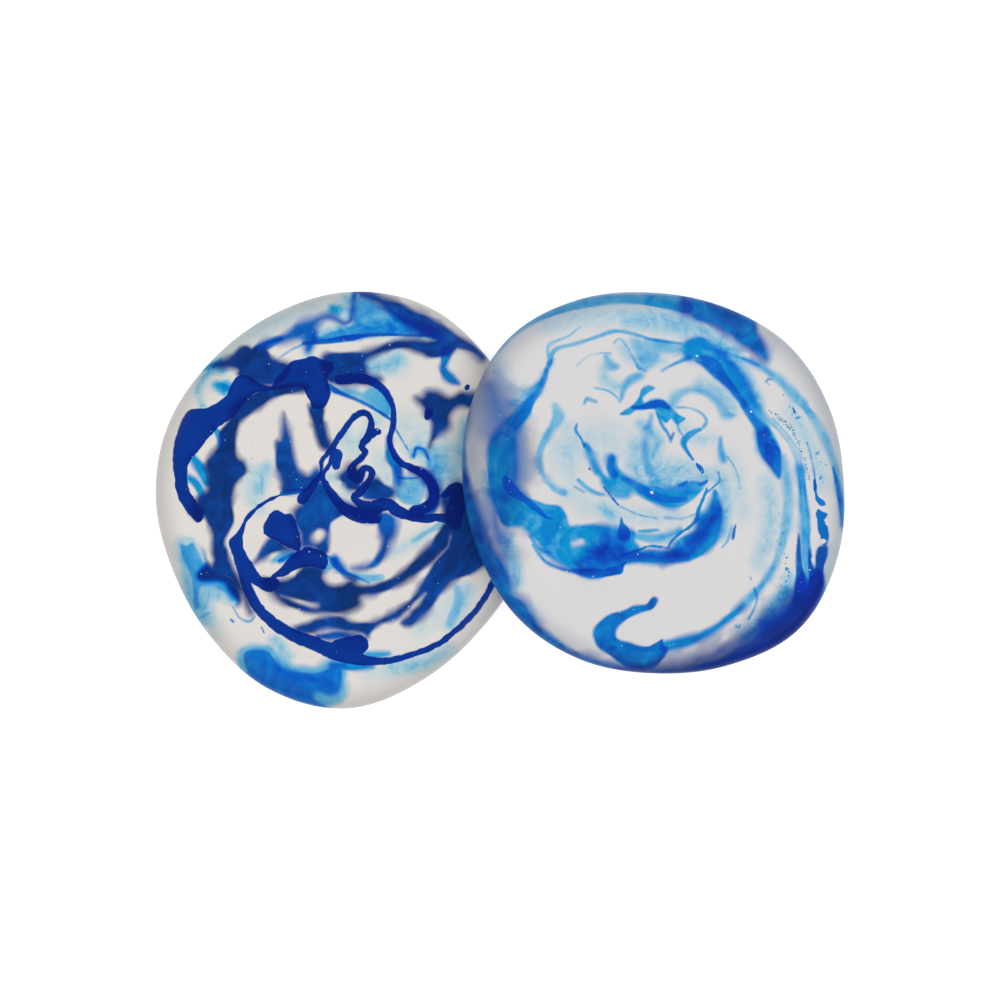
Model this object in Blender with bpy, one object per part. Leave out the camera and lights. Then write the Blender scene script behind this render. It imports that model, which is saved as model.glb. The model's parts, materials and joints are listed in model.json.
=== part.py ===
"""A pair of hand-cast resin pebble coasters, the right one leaning on the left one.

Each coaster is one casting of milky resin, with darker blue resin poured into its top
while it was wet. Metres, +Z up. The origin is on the table, under the middle of the pair.
"""
import math

import bmesh
import bpy
from mathutils import Matrix, Vector

MM = 0.001

# Driving dimensions
THICKNESS = 9.4 * MM          # both castings
EDGE_RADIUS = 4.5 * MM        # the edge is rounded almost to a full half circle
POUR_DEPTH = 1.6 * MM         # how deep the blue resin goes at the top face
GAP = 0.3 * MM                # between solids that touch
CUT_ABOVE = 1.0 * MM          # how far a pocket cutter stands out of the top face

LOWER_CENTRE = (-41.8 * MM, -0.1 * MM)
UPPER_CENTRE = (42.1 * MM, 4.8 * MM)

# Distance from a coaster's centre to its rim, every 22.5 degrees from +X, in mm
LOWER_RADII = (52.3, 53.6, 54.9, 57.7, 57.4, 55.2, 53.8, 53.8,
               53.0, 52.0, 53.4, 56.4, 57.3, 53.6, 51.0, 51.1)
UPPER_RADII = (52.9, 53.0, 53.2, 51.9, 51.9, 54.0, 56.0, 54.6,
               52.6, 51.9, 52.6, 52.4, 52.2, 54.2, 57.0, 55.2)
RIM_POINTS = 96
EDGE_STEPS = 4                # faces round a quarter of the edge, less one

# Blue pours: middle line as x, y and half width in mm from the coaster's centre
LOWER_POURS = {
    "lower_arc_pour": [
        (-40.0, -7.0, 1.4), (-43.5, 1.0, 2.0), (-44.8, 11.0, 2.4), (-42.5, 21.0, 3.0),
        (-34.0, 29.5, 3.0), (-20.0, 36.0, 2.8), (-5.0, 37.5, 2.6),
    ],
    "lower_rim_pour": [
        (-29.0, -19.5, 1.4), (-22.5, -31.0, 1.6), (-13.0, -38.5, 2.0), (1.0, -42.5, 2.4),
        (14.5, -40.5, 1.8), (27.0, -32.5, 1.4), (35.0, -23.5, 1.0),
    ],
    "lower_wiggle_pour": [
        (-3.4, 8.3, 0.9), (0.2, 19.5, 1.0), (4.6, 23.6, 1.1), (8.0, 19.0, 1.1),
        (4.2, 13.0, 1.0), (1.4, 6.5, 1.1), (3.4, -0.5, 1.1), (12.5, -1.5, 1.4),
        (21.5, -4.2, 1.6), (28.5, -5.6, 1.4),
    ],
}
UPPER_POURS = {
    "upper_belly_pour": [
        (-40.0, -8.0, 2.2), (-33.5, -17.0, 4.0), (-21.5, -23.5, 4.6), (-9.5, -21.5, 4.4),
        (4.5, -16.5, 3.4), (17.5, -10.0, 1.8),
    ],
    "upper_hook_pour": [
        (1.0, -32.0, 1.4), (-7.5, -33.8, 2.2), (-13.8, -37.6, 2.4), (-15.6, -42.6, 1.8),
    ],
    "upper_side_pour": [
        (13.0, 36.0, 1.2), (21.5, 28.5, 3.0), (29.5, 18.0, 2.8), (34.5, 7.0, 2.0),
        (35.5, -4.0, 1.4), (36.0, -17.0, 2.0), (31.0, -29.0, 2.6), (20.0, -37.5, 2.2),
    ],
}
POUR_STEPS = 5                # points on a pour's side between two given ones
POUR_END_STEPS = 5            # points round a pour's rounded end

MATERIALS = {
    "milky_resin": ((0.66, 0.65, 0.64), 0.32),
    "blue_resin": ((0.004, 0.035, 0.31), 0.30),
}


def clear_scene():
    for old in list(bpy.data.objects):
        bpy.data.objects.remove(old, do_unlink=True)


def new_collection(name, guide=False):
    group = bpy.data.collections.new(name)
    bpy.context.scene.collection.children.link(group)
    group.hide_render = guide
    return group


def make_material(name):
    colour, roughness = MATERIALS[name]
    material = bpy.data.materials.new(name)
    material.use_nodes = True
    shader = material.node_tree.nodes["Principled BSDF"]
    shader.inputs["Base Color"].default_value = (*colour, 1.0)
    shader.inputs["Roughness"].default_value = roughness
    shader.inputs["Metallic"].default_value = 0.0
    return material


def blend(before, start, end, after, t):
    """Catmull-Rom value between start (t=0) and end (t=1)."""
    return 0.5 * (2 * start + (end - before) * t
                  + (2 * before - 5 * start + 4 * end - after) * t ** 2
                  + (3 * start - before - 3 * end + after) * t ** 3)


def rim(radii):
    """Points round a pebble, from its radius in a few directions."""
    count = len(radii)
    points = []
    for step in range(RIM_POINTS):
        place = step * count / RIM_POINTS
        k = int(place)
        near = [radii[(k + shift) % count] for shift in (-1, 0, 1, 2)]
        radius = blend(*near, place - k) * MM
        angle = math.tau * step / RIM_POINTS
        points.append((radius * math.cos(angle), radius * math.sin(angle)))
    return points


def middle_line(stations):
    """A smooth line through a pour's stations: x, y and half width in metres."""
    rows = [stations[0], *stations, stations[-1]]
    line = []
    for k in range(1, len(rows) - 2):
        for step in range(POUR_STEPS):
            t = step / POUR_STEPS
            line.append([blend(rows[k - 1][i], rows[k][i], rows[k + 1][i], rows[k + 2][i], t)
                         * MM for i in range(3)])
    line.append([value * MM for value in rows[-1]])
    return line


def pour_outline(stations, grow=0.0):
    """The outline of a pour, or of its pocket when it is grown by the gap."""
    line = middle_line(stations)
    left, right = [], []
    for k, (x, y, half) in enumerate(line):
        x0, y0 = line[max(k - 1, 0)][:2]
        x1, y1 = line[min(k + 1, len(line) - 1)][:2]
        along = Vector((x1 - x0, y1 - y0)).normalized()
        across = Vector((-along.y, along.x)) * (half + grow)
        left.append(Vector((x, y)) + across)
        right.append(Vector((x, y)) - across)

    def round_end(first, last):
        centre = (first + last) / 2
        arm = first - centre
        turns = [math.pi * k / POUR_END_STEPS for k in range(1, POUR_END_STEPS)]
        return [centre + Matrix.Rotation(-turn, 2) @ arm for turn in turns]

    points = left + round_end(left[-1], right[-1]) + right[::-1] + round_end(right[0], left[0])
    return [tuple(point) for point in points]


def flat_solid(name, points, bottom, top, edge, group):
    """A closed solid from a flat outline, with its edges rounded by a circle."""
    curve = bpy.data.curves.new(name, "CURVE")
    curve.dimensions = "2D"
    curve.fill_mode = "BOTH"
    curve.extrude = (top - bottom) / 2 - edge
    curve.bevel_depth = edge
    curve.bevel_resolution = EDGE_STEPS
    curve.offset = -edge
    spline = curve.splines.new("POLY")
    spline.points.add(len(points) - 1)
    spline.use_cyclic_u = True
    for point, (x, y) in zip(spline.points, points):
        point.co = (x, y, 0.0, 1.0)
    outline = bpy.data.objects.new(name, curve)
    group.objects.link(outline)
    outline.location.z = (top + bottom) / 2
    bpy.context.view_layer.update()

    evaluated = outline.evaluated_get(bpy.context.evaluated_depsgraph_get())
    mesh = bpy.data.meshes.new_from_object(evaluated)
    mesh.transform(outline.matrix_world)
    bpy.data.objects.remove(outline)
    solid = bmesh.new()
    solid.from_mesh(mesh)
    bmesh.ops.remove_doubles(solid, verts=solid.verts, dist=1e-6)
    bmesh.ops.recalc_face_normals(solid, faces=solid.faces)
    solid.to_mesh(mesh)
    solid.free()
    piece = bpy.data.objects.new(name, mesh)
    group.objects.link(piece)
    return piece


def cut(piece, cutter):
    cutter.hide_render = True
    cutter.display_type = "WIRE"
    pocket = piece.modifiers.new(cutter.name, "BOOLEAN")
    pocket.operation = "DIFFERENCE"
    pocket.solver = "EXACT"
    pocket.object = cutter


def make_coaster(name, radii, pours, seat, materials, parts, cutters):
    """One casting with its blue pours, standing on z = 0 of its seat."""
    body = flat_solid(name, rim(radii), 0.0, THICKNESS, EDGE_RADIUS, parts)
    body.data.materials.clear()
    body.data.materials.append(materials["milky_resin"])
    body.parent = seat
    for pour_name, stations in pours.items():
        pour = flat_solid(pour_name, pour_outline(stations),
                          THICKNESS - POUR_DEPTH, THICKNESS, 0.0, parts)
        pour.data.materials.clear()
        pour.data.materials.append(materials["blue_resin"])
        pour.parent = seat
        cutter = flat_solid(pour_name + "_pocket", pour_outline(stations, GAP),
                            THICKNESS - POUR_DEPTH - GAP, THICKNESS + CUT_ABOVE, 0.0, cutters)
        cutter.parent = seat
        cut(body, cutter)
    body.data.shade_smooth()
    body.data.set_sharp_from_angle(angle=math.radians(40))
    return body


def lean():
    """Height of the upper coaster's middle and its tilt, where it touches rim and table."""
    core = THICKNESS / 2 - EDGE_RADIUS
    reach = UPPER_RADII[0] * MM - EDGE_RADIUS
    rim_x = LOWER_CENTRE[0] + LOWER_RADII[0] * MM - EDGE_RADIUS
    rim_z = THICKNESS - EDGE_RADIUS

    def middle_height(tilt):
        return reach * math.sin(tilt) + core * math.cos(tilt) + EDGE_RADIUS

    def clearance(tilt):
        """Distance from the lower coaster's rim up to the upper one's flat underside."""
        height = rim_z - middle_height(tilt)
        below = (rim_x - UPPER_CENTRE[0]) * math.sin(tilt) + height * math.cos(tilt)
        return -below - THICKNESS / 2 - EDGE_RADIUS

    low, high = 0.0, math.radians(20)
    for _ in range(40):
        tilt = (low + high) / 2
        if clearance(tilt) < GAP:
            low = tilt
        else:
            high = tilt
    return middle_height(tilt), tilt


def make_seat(name, location, tilt, group):
    seat = bpy.data.objects.new(name, None)
    seat.location = location
    seat.rotation_euler.y = tilt
    group.objects.link(seat)
    return seat


def main():
    clear_scene()
    parts = new_collection("resin_pebble_coasters")
    cutters = new_collection("cutters", guide=True)
    materials = {name: make_material(name) for name in MATERIALS}

    lower_seat = make_seat("lower_seat", (*LOWER_CENTRE, 0.0), 0.0, parts)
    make_coaster("lower_coaster", LOWER_RADII, LOWER_POURS, lower_seat, materials,
                 parts, cutters)

    height, tilt = lean()
    up = Vector((math.sin(tilt), 0.0, math.cos(tilt)))
    middle = Vector((*UPPER_CENTRE, height))
    upper_seat = make_seat("upper_seat", middle - up * THICKNESS / 2, tilt, parts)
    make_coaster("upper_coaster", UPPER_RADII, UPPER_POURS, upper_seat, materials,
                 parts, cutters)


main()
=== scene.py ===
# %% [markdown]
# # Two resin pebble coasters
# Each coaster is a flat pebble of milky resin. Blue dye was stirred and dripped in while
# the resin was wet. Dye near the top face has crisp edges, and dye lower down is blurred
# by the milk above it. The imported CAD model gives the bodies, the seat of each coaster
# and their thickness.

# %% Load the frame
import json
import math

import bmesh
import bpy
import numpy as np
from mathutils import Matrix, Vector, geometry


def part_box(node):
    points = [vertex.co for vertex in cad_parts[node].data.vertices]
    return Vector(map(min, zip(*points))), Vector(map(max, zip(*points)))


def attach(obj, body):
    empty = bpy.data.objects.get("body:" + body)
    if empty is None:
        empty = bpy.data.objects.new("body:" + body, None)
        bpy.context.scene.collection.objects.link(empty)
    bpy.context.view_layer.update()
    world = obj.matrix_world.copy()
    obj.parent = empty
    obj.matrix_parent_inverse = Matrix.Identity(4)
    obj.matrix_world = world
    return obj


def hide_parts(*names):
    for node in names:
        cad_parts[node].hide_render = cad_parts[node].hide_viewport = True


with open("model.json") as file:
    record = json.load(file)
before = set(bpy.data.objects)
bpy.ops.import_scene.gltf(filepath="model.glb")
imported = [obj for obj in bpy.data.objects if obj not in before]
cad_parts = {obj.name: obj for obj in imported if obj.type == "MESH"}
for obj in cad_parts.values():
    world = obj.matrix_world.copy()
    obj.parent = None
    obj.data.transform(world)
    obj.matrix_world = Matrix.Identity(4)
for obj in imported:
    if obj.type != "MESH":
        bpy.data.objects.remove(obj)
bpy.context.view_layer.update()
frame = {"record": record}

MM = 0.001

# %% [markdown]
# Where each coaster lies comes from its flat mount. The lower one rests on its underside,
# so its face looks straight down. The upper one leans, and its top mount gives the tilt.
# A matrix for each coaster turns its own millimetres into the place in the scene.

# %% Seat of each coaster
MOUNTS = {mount["name"]: mount for mount in frame["record"]["mounts"]}
THICKNESS = (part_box("lower_coaster")[1][2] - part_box("lower_coaster")[0][2]) / MM


def seat_matrix(point, normal):
    """Coaster millimetres to metres: +Z along the face's normal, +Y as in the scene."""
    up = Vector(normal).normalized()
    side = Vector((0, 1, 0)).cross(up).normalized()
    ahead = up.cross(side)
    turn = Matrix((side, ahead, up)).transposed().to_4x4()
    return Matrix.Translation(point) @ turn @ Matrix.Diagonal((MM, MM, MM, 1))


LOWER_SEAT = seat_matrix(MOUNTS["table_rest"]["pos_m"], (0, 0, 1))
UPPER_TOP = MOUNTS["upper_top"]
UPPER_SEAT = seat_matrix(Vector(UPPER_TOP["pos_m"])
                         - Vector(UPPER_TOP["axis"]) * THICKNESS * MM, UPPER_TOP["axis"])
print("thickness mm", round(THICKNESS, 2), "tilt",
      round(math.degrees(math.acos(UPPER_TOP["axis"][2])), 1))

# %% [markdown]
# A pebble's outline could be a hand-drawn curve. Here it is the distance from the middle
# to the rim in sixteen directions, with a smooth Catmull-Rom curve between them, which is
# easy to read and gives the rim at any angle.

# %% The rims
LOWER_RADII = (52.3, 53.6, 54.9, 57.7, 57.4, 55.2, 53.8, 53.8,
               53.0, 52.0, 53.4, 56.4, 57.3, 53.6, 51.0, 51.1)
UPPER_RADII = (52.9, 53.0, 53.2, 51.9, 51.9, 54.0, 56.0, 54.6,
               52.6, 51.9, 52.6, 52.4, 52.2, 54.2, 57.0, 55.2)


def catmull(before, start, end, after, t):
    """Smooth value between start (t=0) and end (t=1)."""
    return 0.5 * (2 * start + (end - before) * t
                  + (2 * before - 5 * start + 4 * end - after) * t ** 2
                  + (3 * start - before - 3 * end + after) * t ** 3)


def rim_radius(radii, angle):
    """Rim distance in mm at each angle in radians."""
    radii = np.asarray(radii)
    place = (angle / math.tau * len(radii)) % len(radii)
    k = place.astype(int)
    near = [radii[(k + shift) % len(radii)] for shift in (-1, 0, 1, 2)]
    return catmull(*near, place - k)


print("lower coaster", rim_radius(LOWER_RADII, np.radians([0, 90])).round(1), "mm")

# %% [markdown]
# The casting is flat on top and its edge rolls over softly, because liquid resin pulls
# round at the mould's lip. A square sheet of small quads is wrapped over the top and down
# to the widest line of the edge, so the quads stay nearly even and carry fine colour. The
# underside is only a rolled edge and a flat floor, so it is filled with coarser triangles.

# %% Casting mesh
SHEET = 280            # quads along one side of the sheet
ROLL = 6.2             # how far in from the rim the edge starts to roll, mm
ROLL_POWER = 2.25      # 2 is an ellipse, more is a squarer shoulder
FLAT_SHARE = 0.86      # share of the sheet that lies on the flat
UNDER_RINGS = 9
UNDER_PITCH = 1.3      # mm between points of the flat underside
ROW_SHARE = 0.87       # rows of even triangles stand this much of the pitch apart
BORDER_GAP = 0.7       # pitches between those points and the rolled edge


def square_to_disc(u, v):
    """Concentric map from a square to a disc: returns share of radius and angle."""
    share = np.maximum(np.abs(u), np.abs(v))
    with np.errstate(divide="ignore", invalid="ignore"):
        wide = np.where(u != 0, v / u, 0.0) * (math.pi / 4)
        tall = math.pi / 2 - np.where(v != 0, u / v, 0.0) * (math.pi / 4)
    angle = np.where(np.abs(u) > np.abs(v), wide, tall)
    angle = np.where(np.where(np.abs(u) > np.abs(v), u, v) < 0, angle + math.pi, angle)
    return share, angle


def roll_profile(turn):
    """Out and up shares of the rolled edge, from the flat (0) to the widest line (1)."""
    out = np.sin(turn * math.pi / 2) ** (2 / ROLL_POWER)
    up = np.clip(np.cos(turn * math.pi / 2), 0, 1) ** (2 / ROLL_POWER)
    return out, up


def casting_points(radii, share, angle, side):
    """Points in mm for shares of the sheet, on the top (side 1) or underside (-1)."""
    radius = rim_radius(radii, angle)
    turn = np.clip((share - FLAT_SHARE) / (1 - FLAT_SHARE), 0, 1)
    out, up = roll_profile(turn)
    distance = np.where(share < FLAT_SHARE, share / FLAT_SHARE * (radius - ROLL),
                        radius - ROLL + ROLL * out)
    height = THICKNESS / 2 * (1 + side * np.where(share < FLAT_SHARE, 1.0, up))
    return np.stack([distance * np.cos(angle), distance * np.sin(angle), height], axis=1)


def casting_mesh(name, radii):
    """A closed pebble in its own millimetres."""
    line = np.linspace(-1, 1, SHEET + 1)
    u, v = [grid.ravel() for grid in np.meshgrid(line, line)]
    share, angle = square_to_disc(u, v)
    points = [casting_points(radii, share, angle, 1)]
    row = SHEET + 1
    corner = (np.arange(SHEET)[:, None] * row + np.arange(SHEET)).ravel()
    faces = [list(quad) for quad in
             np.stack([corner, corner + 1, corner + row + 1, corner + row], axis=1).tolist()]

    edge = np.arange(SHEET)
    ring = np.concatenate([edge, edge * row + SHEET, (row - 1) * row + SHEET - edge,
                           (row - 1 - edge) * row])
    ring_angle = angle[ring]
    last = ring
    count = row * row
    for step in range(1, UNDER_RINGS + 1):
        share_here = np.full(len(ring), 1 - (1 - FLAT_SHARE) * step / UNDER_RINGS)
        points.append(casting_points(radii, share_here, ring_angle, -1))
        fresh = np.arange(len(ring)) + count
        faces += np.stack([last, fresh, np.roll(fresh, -1), np.roll(last, -1)],
                          axis=1).tolist()
        last = fresh
        count += len(ring)

    border = points[-1]
    loop = [Vector(point[:2]) for point in border]
    reach = max(radii)
    inner = []
    for j, y in enumerate(np.arange(-reach, reach, UNDER_PITCH * ROW_SHARE)):
        for x in np.arange(-reach, reach, UNDER_PITCH) + (j % 2) * UNDER_PITCH / 2:
            here = rim_radius(radii, np.array([math.atan2(y, x)]))[0]
            if math.hypot(x, y) < here - ROLL - UNDER_PITCH * BORDER_GAP:
                inner.append(Vector((x, y)))
    edges = [(k, (k + 1) % len(loop)) for k in range(len(loop))]
    flat = geometry.delaunay_2d_cdt(loop + inner, edges, [], 1, 1e-5)
    number = {}
    extra = []
    for k, sources in enumerate(flat[3]):
        if sources and sources[0] < len(loop):
            number[k] = int(last[sources[0]])
        else:
            number[k] = count + len(extra)
            extra.append((flat[0][k].x, flat[0][k].y, 0.0))
    points.append(np.array(extra))
    faces += [[number[k] for k in reversed(face)] for face in flat[2]]

    mesh = bpy.data.meshes.new(name)
    mesh.from_pydata(np.concatenate(points).tolist(), [], faces)
    mesh.validate()
    mesh.shade_smooth()
    return mesh


def mesh_points(mesh):
    flat = np.empty(len(mesh.vertices) * 3)
    mesh.vertices.foreach_get("co", flat)
    return flat.reshape(-1, 3)


LOWER_MESH = casting_mesh("lower_casting", LOWER_RADII)
UPPER_MESH = casting_mesh("upper_casting", UPPER_RADII)
for mesh in (LOWER_MESH, UPPER_MESH):
    shape = bmesh.new()
    shape.from_mesh(mesh)
    open_edges = sum(not side.is_manifold for side in shape.edges)
    print(mesh.name, len(mesh.polygons), "faces,", open_edges, "open edges,",
          round(shape.calc_volume() / 1000, 1), "cm3")
    shape.free()

# %% [markdown]
# The swirls are dye that was dripped and stirred in. A stroke is a line of stations: x, y
# and half width in millimetres from the coaster's middle. A patch is an outline of corners,
# for dye that spread into a wider shape. Each starts with its amount of dye. A printed
# picture of marbled resin could be wrapped on instead, but strokes stay sharp at any size
# and can be moved one by one. These are the ones at the very face of the lower coaster.

# %% Dye at the face of the lower coaster
LOWER_SURFACE = [
    (3.1, [(2.2, 23.3, 0.8), (-1.4, 18.6, 0.8), (-4.2, 14.2, 0.8), (-6.9, 11, 0.6), (-7.2, 7.6, 0.5),
           (-9, 4.8, 0.9), (-12.2, 0.4, 1.5)]),
    (3.1, [(-3.8, 13.6, 0.9), (-4.6, 10.4, 0.6), (-6.8, 6.8, 0.6), (-5.6, 4, 0.9), (-3.6, 0.8, 1.2),
           (-1.2, -2, 1.5), (3, -4.2, 1.9), (8, -5, 1.3)]),
    (2.9, [(-2.8, 12.6, 1.4), (-3, 9.6, 1.2)]),
    (3.5, [(0.4, 20.9, 0.7), (2.4, 23.2, 0.75), (4.8, 24, 0.8), (6.4, 22.4, 0.85), (6.4, 19.8, 0.9),
           (5.8, 17.6, 1.2), (4.4, 15.8, 1), (3.9, 14.6, 0.8), (4.9, 13.2, 0.8), (3.6, 11.4, 0.8),
           (1.8, 9.8, 0.9), (1.2, 7.4, 1.4), (3, 6.2, 1.5), (4.4, 8.6, 0.9), (6.2, 8.6, 0.9),
           (6.8, 7.2, 0.9), (5.4, 4.6, 0.9), (3.4, 2.2, 1.1), (1.8, 0.8, 0.9), (3.6, -0.9, 1.1),
           (6.4, -2.2, 2), (9, -1.4, 1.8), (11.6, -1.2, 1.6), (13.6, -2.8, 1.7), (17, -4.2, 1.3),
           (21, -5, 1.2), (25, -4.7, 1.1), (28.6, -5.4, 1.5)]),
    (3.5, [(6.6, 18, 1.1), (8.3, 18.8, 0.9)]),
    (3, [(-2, 33.2, 1.4), (4, 33.2, 1.3), (8, 31.8, 1.1), (11, 28.8, 0.9), (12.6, 25, 0.8),
         (12.4, 20, 0.8), (11.6, 16.2, 0.7), (12.9, 12.5, 0.9), (15.5, 9.8, 0.9), (19.5, 8, 1.1),
         (22.6, 5.4, 1.3), (23.8, 2, 1.4), (22.6, -1.2, 1.5), (18.6, -3, 1.6)]),
    (3.2, [(-32, -11.6, 0.4), (-30.6, -15, 0.8), (-28.6, -20.4, 1.2), (-26.6, -25.6, 1.4),
           (-23.8, -30.2, 1.4), (-19.6, -34, 1.6), (-14.6, -37, 1.7), (-8.6, -39.4, 1.9),
           (-3, -41.8, 2.1), (3, -43.4, 1.6), (9, -44.1, 1), (15, -43.1, 0.85), (20, -41.4, 0.8),
           (25, -39.2, 0.8), (30, -35.4, 0.8), (34.4, -31, 0.8), (37.4, -27, 0.8), (39.4, -23.4, 0.9),
           (41, -19, 0.9)]),
    (3.4, [(-20.4, -20.8, 0.5), (-17.4, -19.4, 1.2), (-13.8, -16.6, 2.1), (-10, -15.6, 2.4),
           (-7, -16.6, 1.8)]),
    (3.5, [(-2.6, -39.9, 1.7), (0.6, -39.8, 2.5), (3.2, -39.6, 2.6)]),
    (3.4, [(26.4, 1.4, 0.8), (29.8, 3.4, 1.6), (30.4, 0.4, 2.2), (29.4, -3.4, 2.4), (29.6, -6.6, 1.6)]),
    (3.3, [(32.8, 30.8, 0.6), (33, 31.2, 0.5)]),
    (3, [(22, 22.8, 0.9), (22.4, 24, 1.2)]),
]
LOWER_SURFACE_PATCHES = [
    (3.3, [(-22.9, -9), (-22, -5), (-19.8, -2.6), (-17.2, -3.7), (-15, -4.1), (-13.2, -9), (-13, -13.6),
           (-15.5, -13.2), (-19, -11.3)]),
    (3.4, [(-20.6, -20.6), (-18.2, -19.6), (-17.6, -17.8), (-15.2, -16.4), (-13, -14.4), (-11.6, -12.9),
           (-8.8, -13.2), (-6, -14.4), (-5.4, -16.2), (-6, -18.6), (-8, -18.8), (-10.6, -17.8),
           (-13, -17.4), (-15.6, -19.4), (-18.6, -20.8)]),
    (3.3, [(-41, -6.2), (-42.6, -4.6), (-45, -1.6), (-46.8, 2.2), (-47.4, 7), (-47.8, 11), (-47.3, 16),
           (-45.8, 20.6), (-44.6, 23.4), (-42.6, 24.9), (-38.8, 25.2), (-35.4, 27), (-33, 28.8),
           (-31.8, 32), (-30, 34), (-27, 34.3), (-25, 32.6), (-21.2, 31.2), (-19.6, 33.4),
           (-16.6, 36.4), (-15.2, 38), (-12, 38.8), (-9.6, 39.5), (-6.8, 38.6), (-4.2, 37.6),
           (-4, 35.6), (-5.4, 33.6), (-5, 31), (-4.6, 29), (-5.6, 26.6), (-6.8, 25.2), (-9.4, 25.4),
           (-10.2, 27), (-11.4, 29.4), (-12.4, 31), (-17, 30.6), (-21, 30.2), (-24.6, 29.6), (-27, 28),
           (-31, 23), (-35, 20.2), (-38.4, 16.6), (-41.2, 13), (-43.4, 10.4), (-43.8, 7), (-43.4, 3),
           (-41.6, 0.2), (-39.6, -3), (-39.6, -5.2)]),
    (3.2, [(-17.6, 1.8), (-21.4, 0.6), (-25.4, -2), (-28, -4.8), (-29.4, -7.6), (-31, -9.6),
           (-32.6, -11.4), (-31.4, -14.4), (-29.6, -18.2), (-27.8, -21.4), (-25.6, -23), (-22, -25),
           (-20, -24.6), (-18.6, -22.4), (-20, -21), (-23.4, -20.9), (-25.6, -17.8), (-28, -14),
           (-28.6, -10), (-27.6, -6.2), (-25, -3), (-22.2, -0.8), (-19, 0.9)]),
]
print("lower coaster, at the face", len(LOWER_SURFACE + LOWER_SURFACE_PATCHES))

# %% [markdown]
# Thin threads hang just under the face. Below them, in the middle of the thickness, lie the
# broad dark bands of dye that sank furthest. They are mostly patches, because a band that
# sank has no even width. One of them also carries painted shadow from the upper coaster. A
# hole is a stroke of clear milk that pushed through a band.

# %% Threads and sunk bands of the lower coaster
LOWER_THREADS = [
    (1.3, [(-12, 43, 0.4), (-5, 43.6, 0.7), (0, 44.4, 0.8), (6, 45.2, 0.4), (14, 45.3, 0.3),
           (22, 45.1, 0.3)]),
    (1.2, [(-26, 40.4, 0.6), (-22, 43, 0.5), (-18, 44.2, 0.3)]),
    (0.8, [(-20, 38, 0.12), (-15, 41.4, 0.12), (-11, 43, 0.15)]),
    (1.5, [(-5, 31, 0.9), (-1, 29, 0.5), (3, 27.4, 0.4), (7.5, 25, 0.4), (11.8, 22.2, 0.4)]),
    (0.9, [(12.6, 20.6, 0.3), (15, 16.5, 0.15), (17.4, 12.4, 0.12)]),
    (1, [(18.2, 12, 0.3), (18.8, 14.2, 0.35), (21, 13.8, 0.3), (22.2, 11.4, 0.3)]),
    (0.9, [(14, 6.2, 0.3), (17, 6, 0.15), (20, 6.4, 0.2)]),
    (1.2, [(-18, 1.8, 0.6), (-15, 2.4, 0.8), (-12, 2.6, 0.6)]),
    (0.8, [(-31.5, -29, 0.12), (-29.4, -32.2, 0.15), (-26.8, -33.2, 0.2), (-25.4, -31.8, 0.1)]),
    (1.4, [(-32, -32.6, 0.2), (-31.2, -33.2, 0.25)]),
    (1.4, [(-23.6, -34.6, 0.2), (-22.8, -36.2, 0.15)]),
    (0.9, [(-5.6, -15.2, 0.3), (-3.6, -17, 0.9), (-1.6, -19.2, 0.6), (2, -20.8, 0.3), (6, -22.6, 0.2)]),
    (1, [(-18.6, -16.6, 0.5), (-15.6, -15.2, 0.6), (-12.6, -14.6, 0.5)]),
]
LOWER_MIDDLE = [
    (1.7, [(-25.5, 40.6, 1), (-21.5, 43, 1.1), (-17, 44.6, 1), (-12.8, 46.6, 1.7), (-10.5, 47.6, 2.1),
           (-7.5, 49.8, 0.9), (-5, 50.4, 0.7), (-3, 49.6, 0.5), (-1, 48.6, 0.4), (0.8, 49.2, 0.4),
           (1.3, 51.5, 0.5), (1.7, 55, 0.8), (2, 57, 0.9)]),
    (1.6, [(-10.2, 46.2, 1.9), (-10.2, 43.4, 1.3), (-10.6, 41.4, 0.6)]),
    (2.6, [(4.4, 57.4, 1.6), (8, 55.2, 1.3), (13, 52.4, 1.9), (18, 49.8, 2.2), (24, 46.4, 2.3),
           (29, 44, 1.7), (34, 41.8, 1.1), (37, 39.4, 0.8)]),
    (2.4, [(18, 8.4, 0.8), (21.4, 7, 1.6), (23.4, 3.6, 2), (23.6, 0.4, 2), (22, -2.4, 1.6),
           (18, -3.6, 1.2)]),
    (1.6, [(11.2, 17, 0.5), (11.6, 12.6, 0.9), (13.6, 9, 1), (14, 5, 0.6)]),
    (2.1, [(11, -6, 2.4), (11, -8.6, 2.3), (10.6, -11, 1.3), (10, -13.4, 1), (8.6, -16, 0.8),
           (6.6, -17.8, 0.6), (3.6, -18.5, 0.35), (1.4, -18.6, 0.2)]),
    (1.4, [(-3.6, -16, 0.8), (-2.2, -18, 1), (-0.4, -20.2, 0.9), (1.8, -22, 0.7)]),
    (2.2, [(-8, -37.4, 0.6), (-3, -37, 0.9), (3, -37, 0.6)]),
    (0.8, [(-25.4, -43.4, 1.4), (-22, -44.6, 1.6), (-17.4, -46.8, 1.2), (-12, -49, 1.4),
           (-6, -49.4, 1.4), (-3.6, -48.8, 0.8)]),
]
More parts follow.
